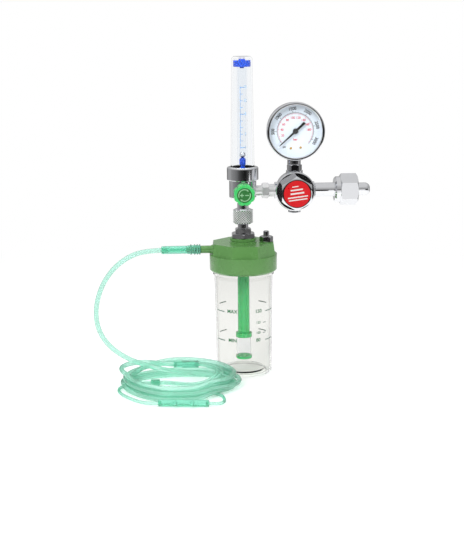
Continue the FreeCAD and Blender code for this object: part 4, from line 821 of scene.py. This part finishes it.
def raise_knob_marks(f):
    """The ring of arrows with plus and minus on the knob's inlay."""
    mark = Layer("knob_marks", f["inlay_mark"], "knob", "lid_green")
    place = facing_front(FLOW_X, -28.2 * mm, -0.6 * mm)
    outer, inner, barb = 6.3 * mm, 5.4 * mm, 1.1 * mm
    middle = (outer + inner) / 2
    sunk, arrow_rise, sign_rise = -0.1 * mm, 0.3 * mm, 0.35 * mm
    steps = 18
    for start, end, point in ((200, 62, 42), (20, -118, -138)):
        bows = [start + (end - start) * i / steps for i in range(steps + 1)]
        line = [(outer, a) for a in bows] + [(middle + barb, end), (middle, point), (middle - barb, end)]
        line += [(inner, a) for a in reversed(bows)]
        outline = [(r * math.cos(math.radians(a)), r * math.sin(math.radians(a))) for r, a in line]
        mark.add(slab(outline, sunk, arrow_rise), place)
    half, arm, aside = 0.42 * mm, 1.9 * mm, 2.6 * mm
    cross = [(half, half), (half, arm), (-half, arm), (-half, half), (-arm, half), (-arm, -half),
             (-half, -half), (-half, -arm), (half, -arm), (half, -half), (arm, -half), (arm, half)]
    mark.add(slab([(x - aside, y) for x, y in cross], sunk, sign_rise), place)
    dash = [(arm, -half), (arm, half), (-arm, half), (-arm, -half)]
    mark.add(slab([(x + aside, y) for x, y in dash], sunk, sign_rise), place)
    mark.finish()


def cut_grips(f):
    """The union nut's knurl over a dark band painted as the shade in its valleys, and the inlet nut's thread.
    """
    grip = Layer("union_knurl", f["plated_knurl"], "union_nut", "chrome")
    grip.add(grown(knurl_rule(), Count=24, Rows=11, Pitch=1.2 * mm, Radius=9.93 * mm, Foot=-32.1 * mm,
                   Base=0.96 * mm, Rise=0.6 * mm, Finish=grip.made), Matrix.Translation((FLOW_X, 0, 0)))
    grip.finish()
    # A dark band under the knurl's points: painted shade in the valleys between them.
    valleys = Layer("union_valley_shade", f["valley_shade"], "union_nut", "chrome")
    wall = bmesh.new()
    foot, crown = (round_line(wall, 9.94 * mm, z * mm, 72) for z in (-32.6, -19.7))
    walled(wall, foot, crown)
    valleys.add(mesh_of(wall, "band"))
    valleys.finish()
    thread = Layer("inlet_thread", f["brass_thread"], "inlet_nut", "brass")
    along_x = Matrix.Translation((-14.6 * mm, 0, 0)) @ Matrix.Rotation(math.pi / 2, 4, "Y")
    thread.add(grown(thread_rule(), Turns=7.0, Radius=11.55 * mm, Height=12.6 * mm, Ridge=0.75 * mm,
                     Finish=thread.made), along_x)
    thread.finish()


def ring_connector(f):
    """The ribs round the connector's grip end."""
    ribs = Layer("connector_ribs", f["rib"], "root", "fitting_teal")
    shape = bmesh.new()
    ring_r, rib_r = 4.75 * mm, 0.75 * mm
    ways = [2 * math.pi * i / 40 for i in range(40)]
    bows = [math.pi * j / 5 for j in range(10)]
    for x in (-172.2, -168.4, -165.6, -163.1):
        loops = []
        for way in ways:
            out = [ring_r + rib_r * math.sin(b) for b in bows]
            loops.append([shape.verts.new((x * mm + rib_r * math.cos(b), r * math.cos(way),
                                           OUTLET_Z + r * math.sin(way))) for b, r in zip(bows, out)])
        for one, other in zip(loops, loops[1:] + loops[:1]):
            walled(shape, one, other)
    bmesh.ops.recalc_face_normals(shape, faces=shape.faces)
    mesh = mesh_of(shape, "ribs")
    for face in mesh.polygons:
        face.use_smooth = True
    ribs.add(mesh)
    ribs.finish()


# Each spring, the joint that shortens it, its way and how far its low end moves along it
SPRINGS = (
    ("poppet_spring", "poppet_open", (0, 1, 0), 0.6 * mm),
    ("relief_spring", "relief_lift", (0, 0, 1), 1.2 * mm),
)


def let_springs_give():
    """Each spring as a coil of its own on the root, with its doubled corners merged, in place of its part."""
    for node, joint, way, travel in SPRINGS:
        mesh = nodes[node].data.copy()
        shape = bmesh.new()
        shape.from_mesh(mesh)
        bmesh.ops.remove_doubles(shape, verts=shape.verts, dist=1e-6)
        shape.to_mesh(mesh)
        shape.free()
        coil = placed(node + "_coil", mesh)
        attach(coil, "root")
        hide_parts(node)
        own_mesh(coil)


# Stage

def board(name, corners, made):
    """A flat panel of the stage."""
    mesh = bpy.data.meshes.new(name)
    mesh.from_pydata([Vector(c) for c in corners], [], [range(len(corners))])
    mesh.materials.append(made)
    panel = placed(name, mesh)
    return panel


def for_metal_only(made):
    """Keep a panel from everything but mirror rays."""
    made.visible_camera = False
    made.visible_diffuse = False
    made.visible_transmission = False
    made.visible_shadow = False


def seen_directly(tree):
    """One where a ray comes from the camera, a mirror or through glass."""
    path = tree.nodes.new("ShaderNodeLightPath")
    either = sum_of(tree, "MAXIMUM", path.outputs["Is Camera Ray"], path.outputs["Is Glossy Ray"])
    return sum_of(tree, "MAXIMUM", either, path.outputs["Is Transmission Ray"])


def set_surround():
    """White to look at, a plain level to be lit by."""
    world = bpy.data.worlds.new("studio")
    bpy.context.scene.world = world
    world.use_nodes = True
    tree = world.node_tree
    light = tree.nodes["Background"]
    light.inputs["Color"].default_value = (1, 1, 1, 1)
    light.inputs["Strength"].default_value = 0.42
    white = tree.nodes.new("ShaderNodeBackground")
    white.inputs["Color"].default_value = (1, 1, 1, 1)
    white.inputs["Strength"].default_value = 1.0
    either = tree.nodes.new("ShaderNodeMixShader")
    tree.links.new(seen_directly(tree), either.inputs["Fac"])
    tree.links.new(light.outputs[0], either.inputs[1])
    tree.links.new(white.outputs[0], either.inputs[2])
    tree.links.new(either.outputs[0], tree.nodes["World Output"].inputs["Surface"])


def set_table():
    """A pale table that keeps the shadow near the set and fades into the white surround."""
    table = bpy.data.materials.new("table")
    table.use_nodes = True
    tree = table.node_tree
    shader = tree.nodes["Principled BSDF"]
    shader.inputs["Base Color"].default_value = (0.86, 0.86, 0.86, 1)
    shader.inputs["Roughness"].default_value = 0.7
    shader.inputs["Specular IOR Level"].default_value = 0.2
    direct = seen_directly(tree)
    lift = joined(tree, "ShaderNodeEmission", Strength=sum_of(tree, "MULTIPLY", direct, TABLE_LIFT))
    both = tree.nodes.new("ShaderNodeAddShader")
    tree.links.new(shader.outputs[0], both.inputs[0])
    tree.links.new(lift.outputs[0], both.inputs[1])
    place = tree.nodes.new("ShaderNodeTexCoord")
    away = joined(tree, "ShaderNodeVectorMath", Vector=place.outputs["Object"])
    away.operation = "DISTANCE"
    away.inputs[1].default_value = (-0.15, -0.03, FLOOR_Z)
    fade = joined(tree, "ShaderNodeMapRange", Value=away.outputs["Value"])
    fade.interpolation_type = "SMOOTHSTEP"
    fade.inputs["From Min"].default_value = 0.22
    fade.inputs["From Max"].default_value = 0.75
    pure = tree.nodes.new("ShaderNodeEmission")
    either = tree.nodes.new("ShaderNodeMixShader")
    tree.links.new(sum_of(tree, "MULTIPLY", fade.outputs["Result"], direct), either.inputs["Fac"])
    tree.links.new(both.outputs[0], either.inputs[1])
    tree.links.new(pure.outputs[0], either.inputs[2])
    tree.links.new(either.outputs[0], tree.nodes["Material Output"].inputs["Surface"])
    far = 6.0
    corners = ((-far, -far), (far, -far), (far, far), (-far, far))
    board("table_top", [(x, y, FLOOR_Z) for x, y in corners], table)


# What the chrome mirrors: degrees from the front towards the right, and how bright it is there
MIRRORED = [
    (-180, 0.5), (-150, 0.12), (-135, 0.38), (-105, 0.38), (-90, 0.28), (-60, 0.21), (-42, 0.15),
    (-30, 0.08), (-8, 0.03), (15, 0.007), (25, 0.03), (47, 0.09), (55, 0.06), (64, 0.15), (72, 0.06),
    (78, 0.5), (92, 0.8), (106, 0.3), (128, 0.25), (143, 0.2), (165, 0.5), (180, 0.5),
]


def set_mirrored_room():
    """A low round screen that only polished metal sees, dark and light by turns as a room is."""
    cards = bpy.data.materials.new("mirrored_room")
    cards.use_nodes = True
    tree = cards.node_tree
    tree.nodes.remove(tree.nodes["Principled BSDF"])
    place = tree.nodes.new("ShaderNodeTexCoord")
    split = joined(tree, "ShaderNodeSeparateXYZ", Vector=place.outputs["Object"])
    across = sum_of(tree, "SUBTRACT", split.outputs["X"], FLOW_X)
    turn = sum_of(tree, "ARCTAN2", across, sum_of(tree, "MULTIPLY", split.outputs["Y"], -1.0))
    spread = joined(tree, "ShaderNodeMapRange", Value=turn)
    spread.inputs["From Min"].default_value = -math.pi
    spread.inputs["From Max"].default_value = math.pi
    ramp = joined(tree, "ShaderNodeValToRGB", Fac=spread.outputs["Result"])
    keys = ramp.color_ramp.elements
    while len(keys) > 1:
        keys.remove(keys[-1])
    for i, (degrees, level) in enumerate(MIRRORED):
        key = keys[0] if i == 0 else keys.new(degrees / 360 + 0.5)
        key.position = degrees / 360 + 0.5
        key.color = (level, level, level, 1)
    rise = joined(tree, "ShaderNodeMapRange", Value=split.outputs["Z"])
    rise.inputs["From Min"].default_value = 0.02
    rise.inputs["From Max"].default_value = 0.07
    ceiling = joined(tree, "ShaderNodeMapRange", Value=split.outputs["Z"])
    ceiling.inputs["From Min"].default_value = 0.15
    ceiling.inputs["From Max"].default_value = 0.6
    ceiling.inputs["To Min"].default_value = 0.42
    ceiling.inputs["To Max"].default_value = 0.7
    either = tree.nodes.new("ShaderNodeMix")
    either.data_type = "RGBA"
    tree.links.new(rise.outputs["Result"], either.inputs[0])
    tree.links.new(ramp.outputs["Color"], either.inputs[6])
    tree.links.new(ceiling.outputs["Result"], either.inputs[7])
    glow = joined(tree, "ShaderNodeEmission", Color=either.outputs[2])
    tree.links.new(glow.outputs[0], tree.nodes["Material Output"].inputs["Surface"])

    ring = bmesh.new()
    room_r, room_foot, room_top = 0.62, FLOOR_Z + 0.001, 0.65
    lower, upper = (round_line(ring, room_r, z, 96) for z in (room_foot, room_top))
    walled(ring, lower, upper)
    ring.faces.new(upper)
    mesh = mesh_of(ring, "mirrored_room")
    mesh.materials.append(cards)
    wall = placed("mirrored_room", mesh)
    for_metal_only(wall)


def set_card():
    """A white card near the inlet nut, which only polished metal sees."""
    white = bpy.data.materials.new("white_card")
    white.use_nodes = True
    tree = white.node_tree
    tree.nodes.remove(tree.nodes["Principled BSDF"])
    glow = joined(tree, "ShaderNodeEmission", Strength=0.95)
    tree.links.new(glow.outputs[0], tree.nodes["Material Output"].inputs["Surface"])
    left, right, low, high, front = -0.016, 0.028, -0.042, -0.003, -0.12
    corners = ((left, low), (right, low), (right, high), (left, high))
    card = board("white_card", [(x, front, z) for x, z in corners], white)
    for_metal_only(card)


def set_lamps():
    """Three soft lamps: from the front left, from the right, and from above and behind."""
    middle = Vector((-0.12, 0, -0.05))
    for name, place, size, power in (
            ("key_lamp", (-0.9, -1.3, 1.3), 0.8, 19.0), ("fill_lamp", (1.2, -1.0, 0.9), 0.9, 7.0),
            ("top_lamp", (-0.1, 0.5, 1.6), 1.2, 12.0)):
        data = bpy.data.lights.new(name, "AREA")
        data.size = size
        data.energy = power
        lamp = placed(name, data)
        lamp.location = place
        lamp.rotation_euler = (middle - Vector(place)).to_track_quat("-Z", "Y").to_euler()


bpy.context.scene.view_settings.view_transform = "Standard"
photograph_camera()
finishes = make_finishes()
dress(finishes)
lay_hoses(finishes)
print_dial(finishes)
print_flow_scale(finishes)
print_bottle(finishes)
print_label(finishes)
raise_knob_marks(finishes)
cut_grips(finishes)
ring_connector(finishes)
let_springs_give()
set_surround()
set_table()
set_mirrored_room()
set_card()
set_lamps()
